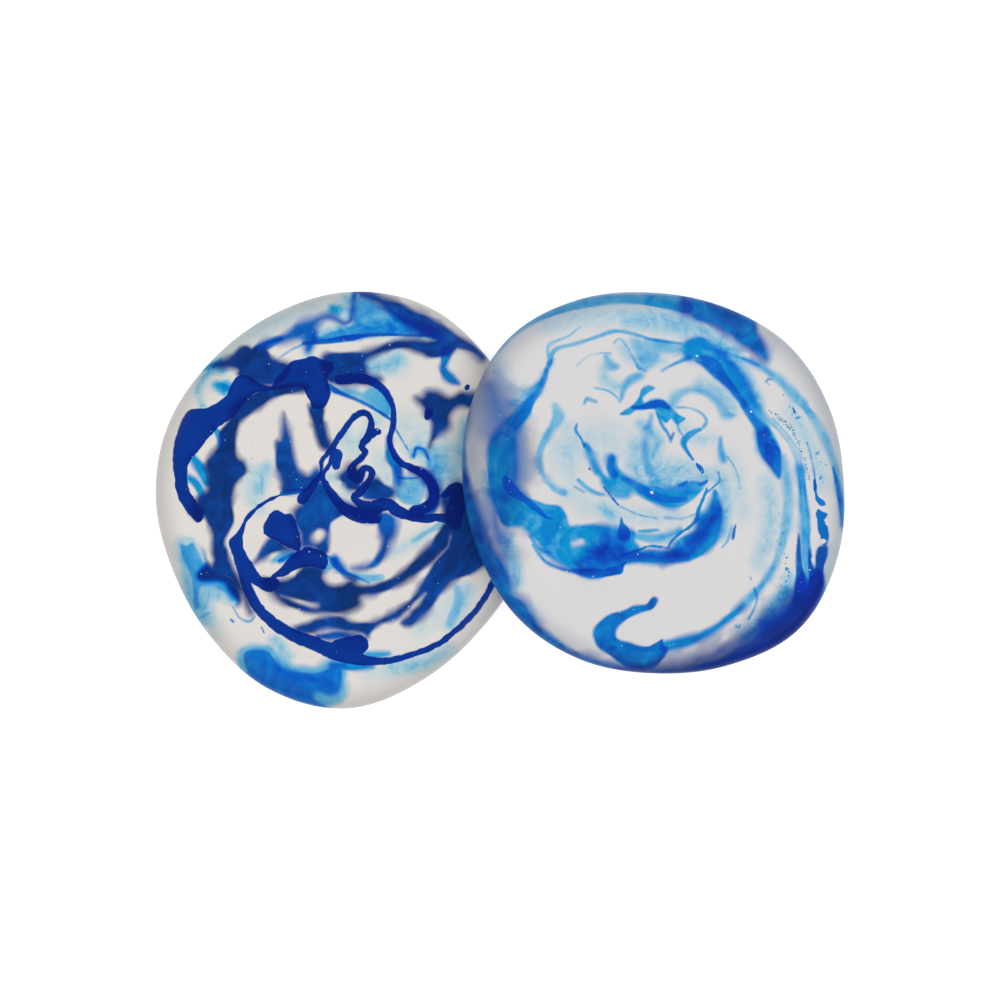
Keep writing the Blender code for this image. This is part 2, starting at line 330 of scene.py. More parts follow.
LOWER_MIDDLE_PATCHES_AND_SHADOW = [
    (0.5, [(-29.6, -41.6), (-26.4, -39.6), (-21.8, -39.8), (-18.6, -42.4), (-14, -45.6), (-8, -45.6),
           (-3.6, -43.4), (-0.4, -44.6), (-0.6, -49), (-2, -55), (-12, -57.4), (-22, -55),
           (-28.6, -48.6)]),
    (0.15, [(-46.6, -10.6), (-42, -10.2), (-38.6, -16), (-35, -19.4), (-30.4, -21.6), (-28.4, -27),
            (-31.4, -29), (-35.6, -25.4), (-39, -25), (-41.4, -31), (-44, -29), (-44.6, -20),
            (-46.6, -14.6)]),
    (3.7, [(-11, 31.6), (-11.2, 30), (-15, 29.5), (-20, 27.8), (-24.5, 25.2), (-27.6, 22.7),
           (-29.8, 19.8), (-30.6, 16), (-30.3, 12), (-28.4, 10.2), (-27.8, 8), (-29.8, 5.4), (-31, 3),
           (-31.2, -3), (-31.4, -6), (-32.6, -8.4), (-33.8, -10.6), (-33.6, -12.8), (-32, -16),
           (-30.6, -19), (-28.6, -23), (-27.4, -26), (-26.2, -30.6), (-27.2, -30.2), (-28.4, -27.6),
           (-29.4, -26), (-31, -24), (-32.6, -21.6), (-36, -20.6), (-39.6, -20.6), (-38, -18.8),
           (-36.8, -16.6), (-37, -12.6), (-36.8, -9.8), (-38.2, -6.4), (-39.4, -4.6), (-41, -5.6),
           (-42.4, -3), (-41, 0.6), (-39.2, 1.6), (-38.2, 3.2), (-38.2, 6.8), (-38.8, 10), (-37, 13.2),
           (-35.4, 15.2), (-35, 18.6), (-33.6, 20.4), (-32.6, 22.6), (-29.6, 27.4), (-24, 30),
           (-17, 31.6)]),
    (3.5, [(-36.6, 37.2), (-33.4, 38.8), (-31.2, 40.2), (-29.6, 42), (-27.6, 42.4), (-25.8, 41.2),
           (-22.6, 41.2), (-20.8, 39.4), (-18.4, 38), (-16, 37), (-16.4, 34.6), (-20, 31.8),
           (-25, 31.6), (-27.6, 33.4), (-30.2, 34.2), (-30, 35.6), (-32, 36.2), (-34.6, 36.2)]),
    (3, [(-7, 39), (-4.4, 40.2), (0, 40.4), (4, 40.6), (9, 42.4), (14, 43.8), (18, 44.3), (22, 43.4),
         (26, 44), (29.6, 43.6), (30.2, 42.4), (28.6, 40.6), (25, 39.4), (21.6, 39.4), (19, 40.6),
         (15, 41.6), (11, 40.8), (8, 39.6), (5.4, 38.2), (5.4, 36.4), (6, 34.4), (9, 33.2), (6, 32.2),
         (1, 31.8), (-3, 31.8), (-6, 33)]),
    (3.2, [(18.6, 28.2), (20.4, 28.4), (22, 30), (25, 29.6), (28, 28.4), (31, 29.6), (33, 29.4),
           (36, 29), (44, 27), (48, 20), (48, 8), (44, 8), (42, 18), (38, 24), (33, 25.4), (30, 25.4),
           (28.4, 23), (27.8, 20), (25.4, 18), (23.4, 15.8), (22.2, 14), (22.6, 17), (23, 20.4),
           (22.4, 21.8), (21.2, 23), (20.6, 25), (19.4, 26.6)]),
    (3.4, [(-10.4, 25.8), (-6.8, 25.6), (-6.4, 22), (-5.6, 18), (-4.2, 15.4), (-4.8, 13.8), (-6.4, 14),
           (-7.8, 15.6), (-8.6, 18.4), (-9.6, 22)]),
    (2.7, [(-17.4, 24), (-16.6, 21), (-15.6, 18), (-15, 14), (-14.2, 9.6), (-12.4, 7.4), (-10.4, 6.6),
           (-8.4, 8.6), (-7.4, 7), (-9, 4.4), (-11, 2.8), (-14, 2.4), (-17.4, 2.2), (-18, 4.6),
           (-19.2, 8), (-19.5, 12), (-19.4, 16), (-18.2, 16.4), (-17.9, 20)]),
    (2.7, [(-7.6, 5.2), (-10, 2), (-12.6, -1), (-14.6, -2.8), (-14.6, -6), (-13.2, -9), (-13, -13),
           (-9, -13.4), (-5.8, -14.6), (-5.2, -11.6), (-4.9, -8), (-4.4, -6), (-2.4, -4.4), (0.4, -3.6),
           (3, -5), (9, -6), (9, -3), (0, -1), (-3, 0.6), (-5.4, 3)]),
    (3, [(-26, -17.6), (-24.4, -15), (-22.4, -12), (-20.6, -10.4), (-17, -12.4), (-14.4, -13.6),
         (-17.4, -14), (-20.4, -14.6), (-23.4, -16.4)]),
    (3.6, [(-22.4, -21), (-18, -21.4), (-14.6, -20.6), (-12.4, -18.4), (-9.6, -18), (-6.6, -19),
           (-7, -21.2), (-4.4, -23.4), (-1.6, -23.2), (1, -21.8), (3, -23.2), (7, -23.4), (12, -21.6),
           (16, -18.6), (20, -15), (23.6, -10.6), (26.4, -6.6), (29, -6.6), (28, -11), (26.8, -13.6),
           (22, -17.6), (17, -21.4), (12, -24.4), (8, -25.8), (3.6, -26.2), (3.4, -28.6), (1.4, -30.2),
           (-4, -30.9), (-10, -30.9), (-14, -29.8), (-18, -27.6), (-21.6, -24.8), (-23.4, -22.4)]),
    (2.9, [(-14.6, -34.6), (-11, -33.8), (-8.6, -32.4), (-5, -31.6), (-1.6, -32.2), (1, -33.4),
           (6, -33.2), (11, -31.4), (15, -29), (18.6, -25.6), (21.4, -21.4), (24, -17.4), (27.6, -12.6),
           (32, -8), (40, -4), (44, 4), (48, 4), (46, -10), (40, -16), (35, -19.6), (31, -21),
           (26.6, -24.6), (22.4, -30), (18.6, -33.6), (16, -34.4), (14.6, -33.4), (17, -31.2),
           (16.6, -30), (13.4, -32.6), (9.6, -34), (7, -36), (5.4, -37.6), (4, -36.6), (0, -35.6),
           (-4, -35), (-8, -35.8), (-12, -36.4), (-14, -36)]),
    # Partly dye, partly painted shadow: the dark mass beside the edge of the upper coaster.
    (3.5, [(25.4, 1.6), (27.4, 3), (29.2, 4.8), (31.4, 5), (34, 2), (37, -4), (40, -12), (36.8, -17.2),
           (33.4, -20), (30, -21), (26, -20), (27.4, -14), (28, -9), (27, -5), (25.6, -1)]),
    (3.2, [(-2.4, 6.4), (-1, 8.4), (1, 9.8), (3.6, 8), (4, 5), (3, 3), (0.6, 3.2), (-0.6, 4.6)]),
    (2.9, [(4.6, 3.6), (7.6, 6.2), (10, 4.2), (12.8, 3), (12.4, 1), (8, 0.4), (4.6, 0.8)]),
]
LOWER_MIDDLE_HOLES = [
    [(-8.1, -10, 1.4), (-7.3, -9, 1.4)],
    [(-18, -26.2, 0.15), (-14, -27.4, 0.5), (-10, -28.6, 0.6), (-8.4, -28.8, 0.3)],
    [(-16.6, -21, 0.2), (-14.2, -19.6, 0.5), (-12.6, -18.6, 0.3)],
    [(16, -31.2, 0.2), (19, -28.2, 0.5), (21.4, -25.4, 0.3)],
]
print("lower coaster, sunk bands", len(LOWER_MIDDLE + LOWER_MIDDLE_PATCHES_AND_SHADOW))

# %% [markdown]
# Pools are thin, wide dye between the threads and the bands, so they look cyan. A wash is
# fainter still: a cloud with no edge, given by its amount and by how far it fades, in mm.

# %% Pools and washes of the lower coaster
LOWER_POOLS = [
    (0.9, [(-42.6, 12, 1), (-40, 8.6, 1.2), (-38.4, 5, 1)]),
    (0.9, [(-43.6, 6.2, 0.6), (-41.4, 4.6, 0.8), (-39.6, 1.4, 0.8)]),
    (0.8, [(-36.6, 20, 0.4), (-35, 17.4, 1), (-34.6, 14, 0.6)]),
    (1.2, [(27.2, 40.6, 1.4), (26.6, 38, 0.9), (26.4, 35.6, 1), (28.4, 33.2, 1.2), (30.4, 32, 0.5)]),
    (0.9, [(-9, 44.2, 0.4), (0, 44.5, 1), (6, 45.5, 0.5), (12, 46.4, 1), (18, 47, 1.3), (24, 45.8, 0.9)]),
    (0.5, [(-3, 30, 0.6), (2, 29.4, 0.8), (5, 28, 0.6)]),
    (0.45, [(13.6, 8.6, 0.8), (13.8, 4, 1), (15.4, 1.2, 1.2), (19, -0.4, 1)]),
    (0.35, [(24, 8.6, 1), (25.4, 3, 0.8), (24.8, -1, 0.6)]),
    (0.4, [(18, 12, 0.6), (19.6, 14.2, 0.7), (22, 12, 0.6), (22.4, 9.6, 0.6)]),
    (0.5, [(-20.4, -16.6, 0.4), (-17.4, -15.4, 1.4), (-13.6, -14.6, 0.8)]),
    (0.55, [(-7, -18.6, 0.6), (-4.6, -17.8, 1), (-3, -16.2, 0.6)]),
    (0.3, [(1.4, -20.6, 0.5), (5, -21.4, 0.8), (9.6, -21, 0.4)]),
    (0.3, [(25.6, -6.8, 1), (22, -8.6, 0.5), (18, -11.2, 0.3)]),
    (0.28, [(30, -24, 0.8), (30.4, -28, 1.2), (28, -33.6, 0.8)]),
    (1, [(-4, -45.2, 0.8), (1, -45.4, 1), (7, -45.6, 0.4)]),
    (0.7, [(5.2, -42.2, 0.5), (7.6, -42.4, 0.7), (11.4, -42, 0.3)]),
]
LOWER_POOL_PATCHES = [
    (1.05, [(-28.4, -42.4), (-26.4, -40.9), (-22.4, -41), (-20.2, -43), (-18, -45.4), (-14, -47),
            (-10, -47.6), (-6, -46.6), (-3.6, -44.6), (-1.4, -45.2), (-1.6, -48.6), (-2.4, -52),
            (-5, -53.4), (-8, -52.6), (-9, -54.4), (-6, -57), (-12, -57), (-20, -54.6), (-26.6, -49.4),
            (-27.4, -46.6)]),
    (0.5, [(-45.6, -12), (-44, -12.4), (-42.4, -11.4), (-41.4, -13), (-40, -16), (-38.2, -18.6),
           (-36, -20.4), (-32.8, -21.6), (-31.4, -23.4), (-29.6, -25.4), (-30.2, -27.4), (-31.8, -27.4),
           (-33.4, -25.4), (-35.6, -23.8), (-38, -23), (-40.4, -23.8), (-41, -26.6), (-41, -29),
           (-42, -30), (-42, -27), (-42.4, -23), (-43.4, -19), (-45, -15.6)]),
    (0.6, [(3.4, 28.4), (6.6, 30.6), (9.8, 30.2), (11.4, 27.6), (11.8, 24), (10, 23.6), (6, 26.4)]),
    (0.38, [(3.4, 56.4), (8, 54.2), (13, 51.2), (18, 48), (22, 45.6), (14, 45.6), (6, 45.6), (-1, 44.4),
            (-6, 43.4), (-8, 44), (-4, 46.2), (1, 47.6), (2, 50), (1.6, 53)]),
    (0.3, [(14.6, 6), (17.6, 6.4), (20.6, 5.4), (21.4, 2.4), (19.6, -0.6), (15.6, -0.6), (13.8, 2.4)]),
]
LOWER_WASH = [
    (0.12, 3.2, [(-4, 47, 1.6), (6, 48.6, 2.6), (14, 47.6, 2)]),
    (0.1, 5, [(16, 20, 3), (26, 12, 4), (29, 6, 3)]),
    (0.14, 4, [(7, 38, 2), (14, 37, 2)]),
    (0.1, 4, [(20, -35, 2), (31, -26, 2)]),
    (0.1, 4, [(6, -47, 1.5), (20, -44, 2)]),
    (0.12, 3, [(9, 12, 1.5), (11, 6, 1.5)]),
    (1.1, 1.2, [(-39.6, 36.2, 0.4), (-37, 37.2, 0.8), (-34.6, 37.8, 0.8)]),
    (0.4, 1.6, [(-10.6, 41.8, 0.6), (-10.8, 39.6, 0.5)]),
    (0.22, 2.2, [(-44.4, -16, 1.6), (-43.6, -24, 1.4), (-40.6, -32, 1.2)]),
    (0.3, 2, [(-38.6, -24.6, 0.8), (-36, -26.2, 1)]),
    (0.2, 2, [(-8, 6.6, 1), (-2, 6, 0.8), (0, 2, 0.6)]),
    (0.5, 3, [(34, 20, 2), (33, 14, 2), (34, 8, 2)]),
    (0.3, 3, [(18, 14, 1), (24, 12, 1.6), (27, 8, 1.6)]),
    (0.35, 2.2, [(-22, 9, 1), (-24, 3, 1)]),
    (0.28, 3, [(1, 53, 3), (7, 51, 4), (13, 49, 3), (20, 46.8, 1.6)]),
    (0.9, 2.6, [(14, 49.6, 1.2), (20, 47.2, 1.2), (25, 45.2, 0.8)]),
    (0.5, 1.6, [(-12, 44.6, 0.6), (-4, 45.6, 1.2), (4, 46.6, 1.2), (12, 47.2, 1.2)]),
    (0.1, 5, [(-40, 32, 2), (-25, 46, 3), (-12, 52, 3), (2, 55, 2)]),
    (0.8, 1.3, [(-4.2, 52.4, 0.9), (-2.6, 51.8, 0.9)]),
    (1.2, 1.4, [(-35.6, 31.2, 0.9), (-33.4, 30.8, 1.4)]),
    (0.35, 1.3, [(-39.6, 26, 0.6), (-41, 30, 0.6), (-38.6, 34.6, 0.6), (-34, 35.6, 0.5)]),
    (0.25, 2.6, [(4, 37, 2), (10, 37, 2), (14, 39, 1.5)]),
    (0.18, 2.4, [(33, -24, 1.2), (31.4, -29, 1.4), (28, -34, 1.4)]),
    (0.22, 2.6, [(28, -41, 1.2), (20, -44.6, 1.6), (12, -46, 1.2)]),
    (0.25, 2, [(18.5, 4, 2.2), (17, 1.6, 1.6)]),
    (0.12, 4, [(28, 14, 2), (24, 10, 2), (30, 6, 2)]),
    (0.16, 3, [(-26, 8, 1.4), (-26, 2, 1.8), (-24, -2, 1)]),
    (0.3, 2.2, [(-39, -27, 1.4), (-38.6, -32, 1.6)]),
    (0.14, 4, [(-44, -22, 1), (-37, -35, 1.6)]),
    (0.3, 2, [(-20, -38.5, 1.2), (-16, -42.5, 1)]),
    (0.22, 2.4, [(2, -20.4, 1), (7, -21.4, 0.8)]),
    (0.18, 2.2, [(22, -8.6, 0.8), (17, -12, 0.9), (12, -14.6, 0.8)]),
    (0.16, 3, [(0, 17, 1.6), (2, 14, 1.6), (8, 22, 1.4)]),
]
print("lower coaster, pools and washes", len(LOWER_POOLS + LOWER_POOL_PATCHES + LOWER_WASH))

# %% [markdown]
# The upper coaster was stirred more, so its dye is thinner and a lighter blue. A broad belly
# curls round its middle, a hook lies below, and long streaks run down its right side. The
# face and the threads come first, as on the lower coaster.

# %% Dye at the face of the upper coaster
UPPER_SURFACE = [
    (1, [(-41.4, 1.4, 0.5), (-40.8, -0.6, 1.4), (-38.6, -3, 1.3), (-35.6, -5, 0.8), (-33, -7.2, 0.8),
         (-30.4, -9.4, 0.4), (-28.4, -10, 0.15)]),
    (1.2, [(-6.6, 20.4, 0.5), (-4.4, 20.4, 0.6), (-1.4, 21, 1), (1, 21.4, 1), (3, 20.4, 0.6)]),
    (1, [(-10, -19.9, 0.3), (-5, -18.4, 0.28), (-2, -17.3, 0.25), (2.6, -17.8, 0.25)]),
    (1, [(3.2, -17.8, 0.2), (3.7, -16.4, 0.3), (6, -14.2, 0.35), (9.4, -11.8, 0.4), (11, -10, 0.5),
         (11.4, -7.6, 0.5), (12.6, -4.8, 0.45), (13.6, -2.4, 0.35), (13.9, -1, 0.15)]),
    (1.2, [(-9.9, -9.4, 0.15), (-9.6, -11.6, 0.7), (-9, -13.4, 1.5), (-9, -14.2, 1.7)]),
    (1.4, [(11, 5, 0.3), (12, 3.8, 0.6), (12.5, 2.9, 0.4)]),
    (1.3, [(-14.6, -1.2, 0.15), (-12.4, -4, 0.25), (-10.6, -6.2, 0.12)]),
    (1.5, [(21, -15.4, 0.3), (21.3, -13.4, 0.4), (21.7, -11.4, 0.2)]),
    (1.8, [(37.6, 20.8, 0.15), (38.2, 19.2, 0.35)]),
    (3.6, [(-18.6, 3.7, 0.2), (-18.5, 3.6, 0.2)]),
    (1.3, [(43.6, 0.6, 0.25), (43.9, -1.2, 0.5), (44.1, -3.2, 0.3), (44.6, -4.6, 0.6),
           (45.7, -5.6, 0.9), (46.5, -6.3, 0.35)]),
    (1.5, [(44.8, -7.8, 0.4), (45.5, -9.2, 1.2), (46.7, -8.8, 0.6)]),
    (1.5, [(45.4, -10.4, 0.9), (46, -12.6, 1.4), (46.5, -14.4, 1.2), (46.4, -16.2, 1.1)]),
]
UPPER_SURFACE_HOLES = [
    [(46.2, -7.2, 0.7), (46.6, -7.1, 0.7)],
    [(45.9, -16.1, 0.7), (46.3, -16.1, 0.6)],
    [(47.2, -11.2, 0.5), (47.6, -11.2, 0.5)],
    [(43.3, -19, 0.5), (43.6, -23.6, 0.3)],
]
UPPER_THREADS = [
    (0.6, [(-30.2, 30.6, 0.5), (-31, 27.6, 0.6), (-32.6, 24.4, 0.7), (-34.8, 21.2, 1),
           (-36.6, 18.4, 1.3), (-38.8, 15.6, 1.1), (-41.2, 12.8, 0.6)]),
    (0.6, [(-29.6, 32, 0.7), (-28.6, 35, 0.6), (-26.6, 36.5, 0.45), (-22, 37.6, 0.38),
           (-16, 39.6, 0.36), (-12.6, 40.8, 0.45), (-10, 41, 0.4), (-6.6, 40.3, 0.36),
           (-4.4, 39.7, 0.34), (-2, 39, 0.34), (2, 38.3, 0.32), (6.8, 37.7, 0.25)]),
    (0.32, [(-29.6, 33, 0.3), (-29.9, 36.4, 0.35), (-28.6, 37.8, 0.3), (-24.6, 39.4, 0.3),
            (-22.4, 41, 0.2), (-20.8, 42.2, 0.1)]),
    (0.7, [(-49, 30.5, 0.5), (-46.6, 34, 1.1), (-43, 37.8, 1.5), (-40, 40.4, 1.2), (-36, 43, 1.1),
           (-31, 45.5, 1.2), (-26, 47.1, 1.2), (-20, 48.8, 1.3), (-12, 49.8, 1.2), (-4, 49.8, 1.5),
           (2, 49.2, 1.9), (8, 48.4, 2.3)]),
    (0.5, [(-22, 47, 0.2), (-12, 48.8, 0.3), (-4, 49, 0.4), (5, 48, 0.4)]),
    (1.3, [(28.8, 14.2, 0.8), (30.2, 11.2, 1.5), (31.5, 8.4, 2), (32.4, 6, 1.7), (33.4, 3.4, 0.8)]),
    (0.9, [(12.4, 34.2, 0.5), (15, 33, 1.1), (17.4, 31.8, 0.6)]),
    (0.8, [(9, 34, 0.7), (6.6, 33, 0.4), (4, 31.8, 0.25), (1.4, 30.4, 0.08)]),
    (0.4, [(13, 36.8, 0.3), (18, 35.4, 0.3), (23, 34, 0.3), (28, 32, 0.3)]),
    (1.2, [(49, 4, 0.3), (50.6, -2, 0.7), (51.6, -7, 0.8), (52, -11.6, 0.4)]),
    (0.3, [(28.6, 19.8, 0.3), (31, 17, 0.45), (34.5, 13.4, 0.4), (37.5, 9.4, 0.5), (39.3, 4, 0.5),
           (39.8, -2, 0.4), (39.8, -8, 0.25)]),
    (0.35, [(32, 17.4, 0.2), (36, 13.2, 0.3), (38.8, 9, 0.35), (40.5, 3, 0.3), (41.2, -4, 0.3),
            (42.2, -11, 0.25), (42.2, -17, 0.3), (42.6, -20.4, 0.4)]),
    (1.1, [(41.6, 11, 0.08), (43, 6, 0.12), (43.8, 1, 0.16), (43.8, -2, 0.3)]),
    (0.9, [(0, 19, 0.3), (1.4, 15.6, 0.35), (3, 13.4, 0.25), (3.8, 11.2, 0.1)]),
    (1.4, [(4.6, 13.4, 0.15), (3.9, 12, 0.35)]),
    (0.8, [(5.8, 16, 0.15), (6, 14.4, 0.15), (7.4, 12.6, 0.1)]),
    (0.45, [(5.6, 20.4, 0.15), (9, 20.2, 0.2), (12, 19, 0.25), (13.7, 16.8, 0.3), (12.8, 15, 0.4)]),
    (0.9, [(12, 14.4, 0.4), (10, 13.6, 0.7), (8, 12, 0.9), (7.4, 10.4, 0.7), (8.4, 8.4, 0.4),
           (10, 6.2, 0.3)]),
    (0.5, [(19.6, 7, 0.15), (22, 3, 0.15), (23, -2, 0.1)]),
    (0.4, [(-11.8, 37.8, 0.2), (-10.2, 38.9, 0.2), (-8.4, 37, 0.2), (-6.6, 34, 0.2), (-5, 31.4, 0.3),
           (-3, 30.2, 0.2)]),
    (0.8, [(-5.6, 31.4, 0.2), (-4.8, 30.8, 0.3)]),
    (0.35, [(-17, 25.6, 0.3), (-14, 25, 0.3), (-11.6, 23.6, 0.3), (-10, 21.6, 0.2)]),
    (0.55, [(-19.9, 21.4, 0.2), (-19.2, 22.6, 0.35), (-17.8, 22.2, 0.3), (-16.6, 21.8, 0.25)]),
    (0.32, [(-22, 31.6, 0.06), (-19, 34, 0.1), (-15.4, 35, 0.2), (-12.8, 34.9, 0.3)]),
    (1.1, [(-21.8, 16, 0.15), (-22.3, 14.2, 0.35), (-20.8, 11.8, 0.3), (-19.9, 9.8, 0.4)]),
    (0.8, [(-12.4, 6.6, 0.8), (-12.7, 3.8, 1), (-11.4, 2, 0.8)]),
    (0.8, [(-9.4, 1.2, 0.5), (-6.4, -0.4, 0.8), (-4, -2, 1.2), (0, -3.8, 1.1), (4, -4.8, 0.8),
           (8, -4.6, 0.5)]),
    (0.6, [(-21.6, 0.6, 0.4), (-19.8, -1, 0.5), (-17, -2.8, 0.4), (-14.6, -3.4, 0.2)]),
    (0.6, [(-22.6, -1.2, 0.15), (-20, -2.6, 0.15)]),
    (0.6, [(-10, -6.6, 0.12), (-5, -8.8, 0.15), (0, -9.8, 0.12)]),
    (0.5, [(2, -9.6, 0.1), (7, -9.8, 0.12), (10.4, -8.6, 0.12)]),
    (0.7, [(-5, -13.3, 0.25), (-2.4, -13.2, 0.4), (0.6, -12.9, 0.15)]),
    (1, [(-34, -17, 0.2), (-31, -21, 0.3), (-28, -22.8, 0.3), (-24, -24, 0.3)]),
    (0.7, [(-34.6, -14.6, 0.3), (-32.4, -18, 0.4), (-29, -19.2, 0.3)]),
    (1, [(6, -0.8, 0.3), (7.4, -0.4, 0.5), (8.2, 0.2, 0.3)]),
    (1.1, [(11.6, -0.6, 0.3), (13, -0.2, 0.5), (13.8, 0.4, 0.3)]),
    (1, [(14, -2.6, 0.2), (16.4, -0.6, 0.2), (17.4, 0.6, 0.12), (17, 2.8, 0.15)]),
    (0.7, [(26.9, -28.8, 0.2), (27.7, -31.6, 0.25), (26.8, -34.6, 0.15), (25.4, -37.2, 0.3)]),
    (0.8, [(21.8, -39.1, 0.25), (22.6, -39.6, 0.2), (23, -39, 0.15)]),
    (0.9, [(25.8, -25.8, 0.2), (26.2, -26.6, 0.15)]),
    (0.5, [(20.6, -12, 0.25), (19.8, -15.4, 0.2), (18, -17.8, 0.12)]),
    (1.2, [(38.6, 17.6, 0.15), (39.6, 17.9, 0.15)]),
    (0.8, [(30.2, 27.4, 0.12), (30.8, 28.2, 0.15), (31.8, 28.1, 0.1)]),
    (1, [(44.2, 7.8, 0.2), (44.8, 8.2, 0.15)]),
    (0.8, [(45.3, 1, 0.3), (45.6, 1.6, 0.2)]),
]
UPPER_THREAD_PATCHES = [
    (1, [(10.4, 33.2), (13, 32.8), (16, 31.8), (17.6, 31.8), (19, 29.6), (21, 26.8), (23.4, 23.6),
         (25.6, 20.4), (27.6, 17.6), (29.6, 16), (31.6, 13), (33.2, 10), (34.2, 8.6), (34.4, 4),
         (34.1, 1.2), (33.2, 1.7), (31.6, 4.2), (29.4, 6.6), (28.2, 9), (27.9, 12.4), (27, 15),
         (24.8, 18.2), (22, 22.6), (19, 26.2), (15, 29.4), (12.6, 31.8)]),
    (1.9, [(39.2, -14), (39.8, -17), (40, -21), (40.8, -25), (42, -29.6), (42.3, -27), (42, -22),
           (42, -19), (42.7, -21), (43.9, -24), (44, -20.6), (44.6, -18), (45.6, -17.4), (47.2, -17.4),
           (47.3, -20), (46.4, -23), (46, -27), (45.4, -32), (44.4, -36), (42, -38.6), (39.6, -38),
           (38, -34), (38.2, -29.4), (38.6, -24), (38.6, -20)]),
    (1.6, [(0.2, -32), (-0.8, -31.2), (-1.8, -31.8), (-3, -33.2), (-6.4, -33.6), (-9.6, -35),
           (-12.8, -35.8), (-15.6, -37.8), (-17.4, -40.2), (-17, -43), (-15.8, -45), (-13, -46.8),
           (-9.6, -49.4), (-6, -51.2), (-1, -50.4), (1.6, -48), (3, -45.6), (1.8, -44), (1.5, -42.6),
           (-0.6, -43.8), (-2.4, -44.6), (-5, -44.4), (-8, -43.4), (-10.8, -42.6), (-11.4, -40.8),
           (-10.4, -38.8), (-7.8, -36.8), (-4, -35.2), (-1, -34.2)]),
    (1.2, [(-24, -23.8), (-20, -25.6), (-17, -26), (-13, -25.4), (-9.6, -24.8), (-9.2, -23),
           (-8.4, -21.6), (-11, -22.6), (-15, -23.6), (-20, -23.4)]),
    (0.85, [(-10.4, 18.4), (-8, 20), (-6, 21.6), (-4.8, 23.4), (-4.2, 25.4), (-2.4, 26.2), (-0.6, 25.6),
            (-2.4, 24.4), (-4, 23), (-3.4, 21.6), (-1.6, 22.4), (1, 22.6), (3, 21.4), (4.2, 20),
            (6, 18.4), (8, 17.4), (6.4, 16.2), (5.4, 15.8), (4, 17.4), (2.4, 16.2), (0.6, 18), (-1, 20),
            (-4, 19.6), (-6, 19.6), (-7.6, 18.4)]),
]
UPPER_THREAD_HOLES = [
    [(-1.5, -2.8, 0.4), (-1.3, -2.8, 0.4)],
]
print("upper coaster, face and threads", len(UPPER_SURFACE + UPPER_THREADS + UPPER_THREAD_PATCHES))

# %% [markdown]
# Most of the upper coaster's blue is in its pools. Two more layers, deep and shade, lie
# lowest. Along the left edge they are painted see-through shade: the grey-blue haze where
# the lower coaster shows through. See-through resin could show it by itself. As layers of
# its own the haze stays soft behind strokes that are sharp, and the scene renders quickly.

# %% Pools, deep dye and painted see-through haze of the upper coaster
UPPER_POOLS = [
    (1.6, [(-41.4, 0, 1), (-41.8, -5, 1.3), (-41.4, -10.6, 1.2)]),
    (0.5, [(24, 33.8, 0.3), (28, 32, 0.6), (32, 29.4, 0.8), (36, 26, 0.9), (40, 22, 0.9),
           (44, 16.6, 0.9), (47, 11, 0.9), (49.2, 5, 0.9), (50.8, -2, 1), (51.8, -8, 0.9),
           (52.2, -12, 0.5)]),
    (1.25, [(2, -44.6, 1.2), (7, -43.6, 1.3), (12, -42, 1), (16.4, -39.6, 0.7), (20.6, -36.4, 0.7),
            (23.4, -34, 0.8)]),
    (0.7, [(23.4, -34, 0.8), (27, -30.4, 0.9), (30, -26.8, 0.8), (32.4, -23, 0.7)]),
    (0.42, [(32.4, -23, 0.7), (34.4, -18, 0.8), (35.8, -12, 0.9), (36.4, -6, 1), (36.2, -1, 0.8),
            (35.2, 4, 0.7), (34.8, 7, 0.4)]),
    (0.45, [(4, 20.6, 0.8), (5, 22.8, 1), (6.8, 24.4, 0.8), (9.6, 25.2, 0.5), (13, 24.6, 0.6),
            (16.6, 22.2, 0.8), (19, 18.8, 1), (21.2, 18.2, 0.4)]),
    (0.6, [(17.6, 12, 0.2), (17.7, 9, 0.6), (18.4, 6.2, 0.6)]),
    (0.5, [(-1.4, 18.4, 0.3), (-2.4, 14.6, 0.5), (-3.2, 10.6, 0.7), (-3, 6, 0.8), (-2, 3, 1)]),
    (0.5, [(-14, 34, 0.5), (-12.6, 31.8, 0.9), (-10.8, 31.4, 0.4)]),
    (0.55, [(-4.4, 29.2, 0.5), (-7, 28, 0.8), (-9, 25.6, 0.6), (-9.8, 22.6, 0.2)]),
    (0.35, [(-28, 20.6, 0.8), (-27, 18, 1.4), (-28.6, 15, 0.8)]),
    (0.5, [(-29.4, 14, 0.7), (-31.6, 9.6, 0.7), (-32.2, 5, 0.6), (-30.6, 1, 0.5), (-28, -1.8, 0.5),
           (-25.6, -2.8, 0.7)]),
    (1.2, [(-10, -51.4, 0.5), (0, -52.4, 0.8), (10, -52.2, 1), (20, -50.4, 1.1)]),
    (1.2, [(-51.5, 26, 0.3), (-52.1, 18, 0.3), (-52.5, 8, 0.35), (-52.1, 0, 0.6)]),
    (0.6, [(-6, -14.6, 0.6), (-1, -15.2, 1), (3, -14.6, 0.9), (6.4, -13, 0.4)]),
]
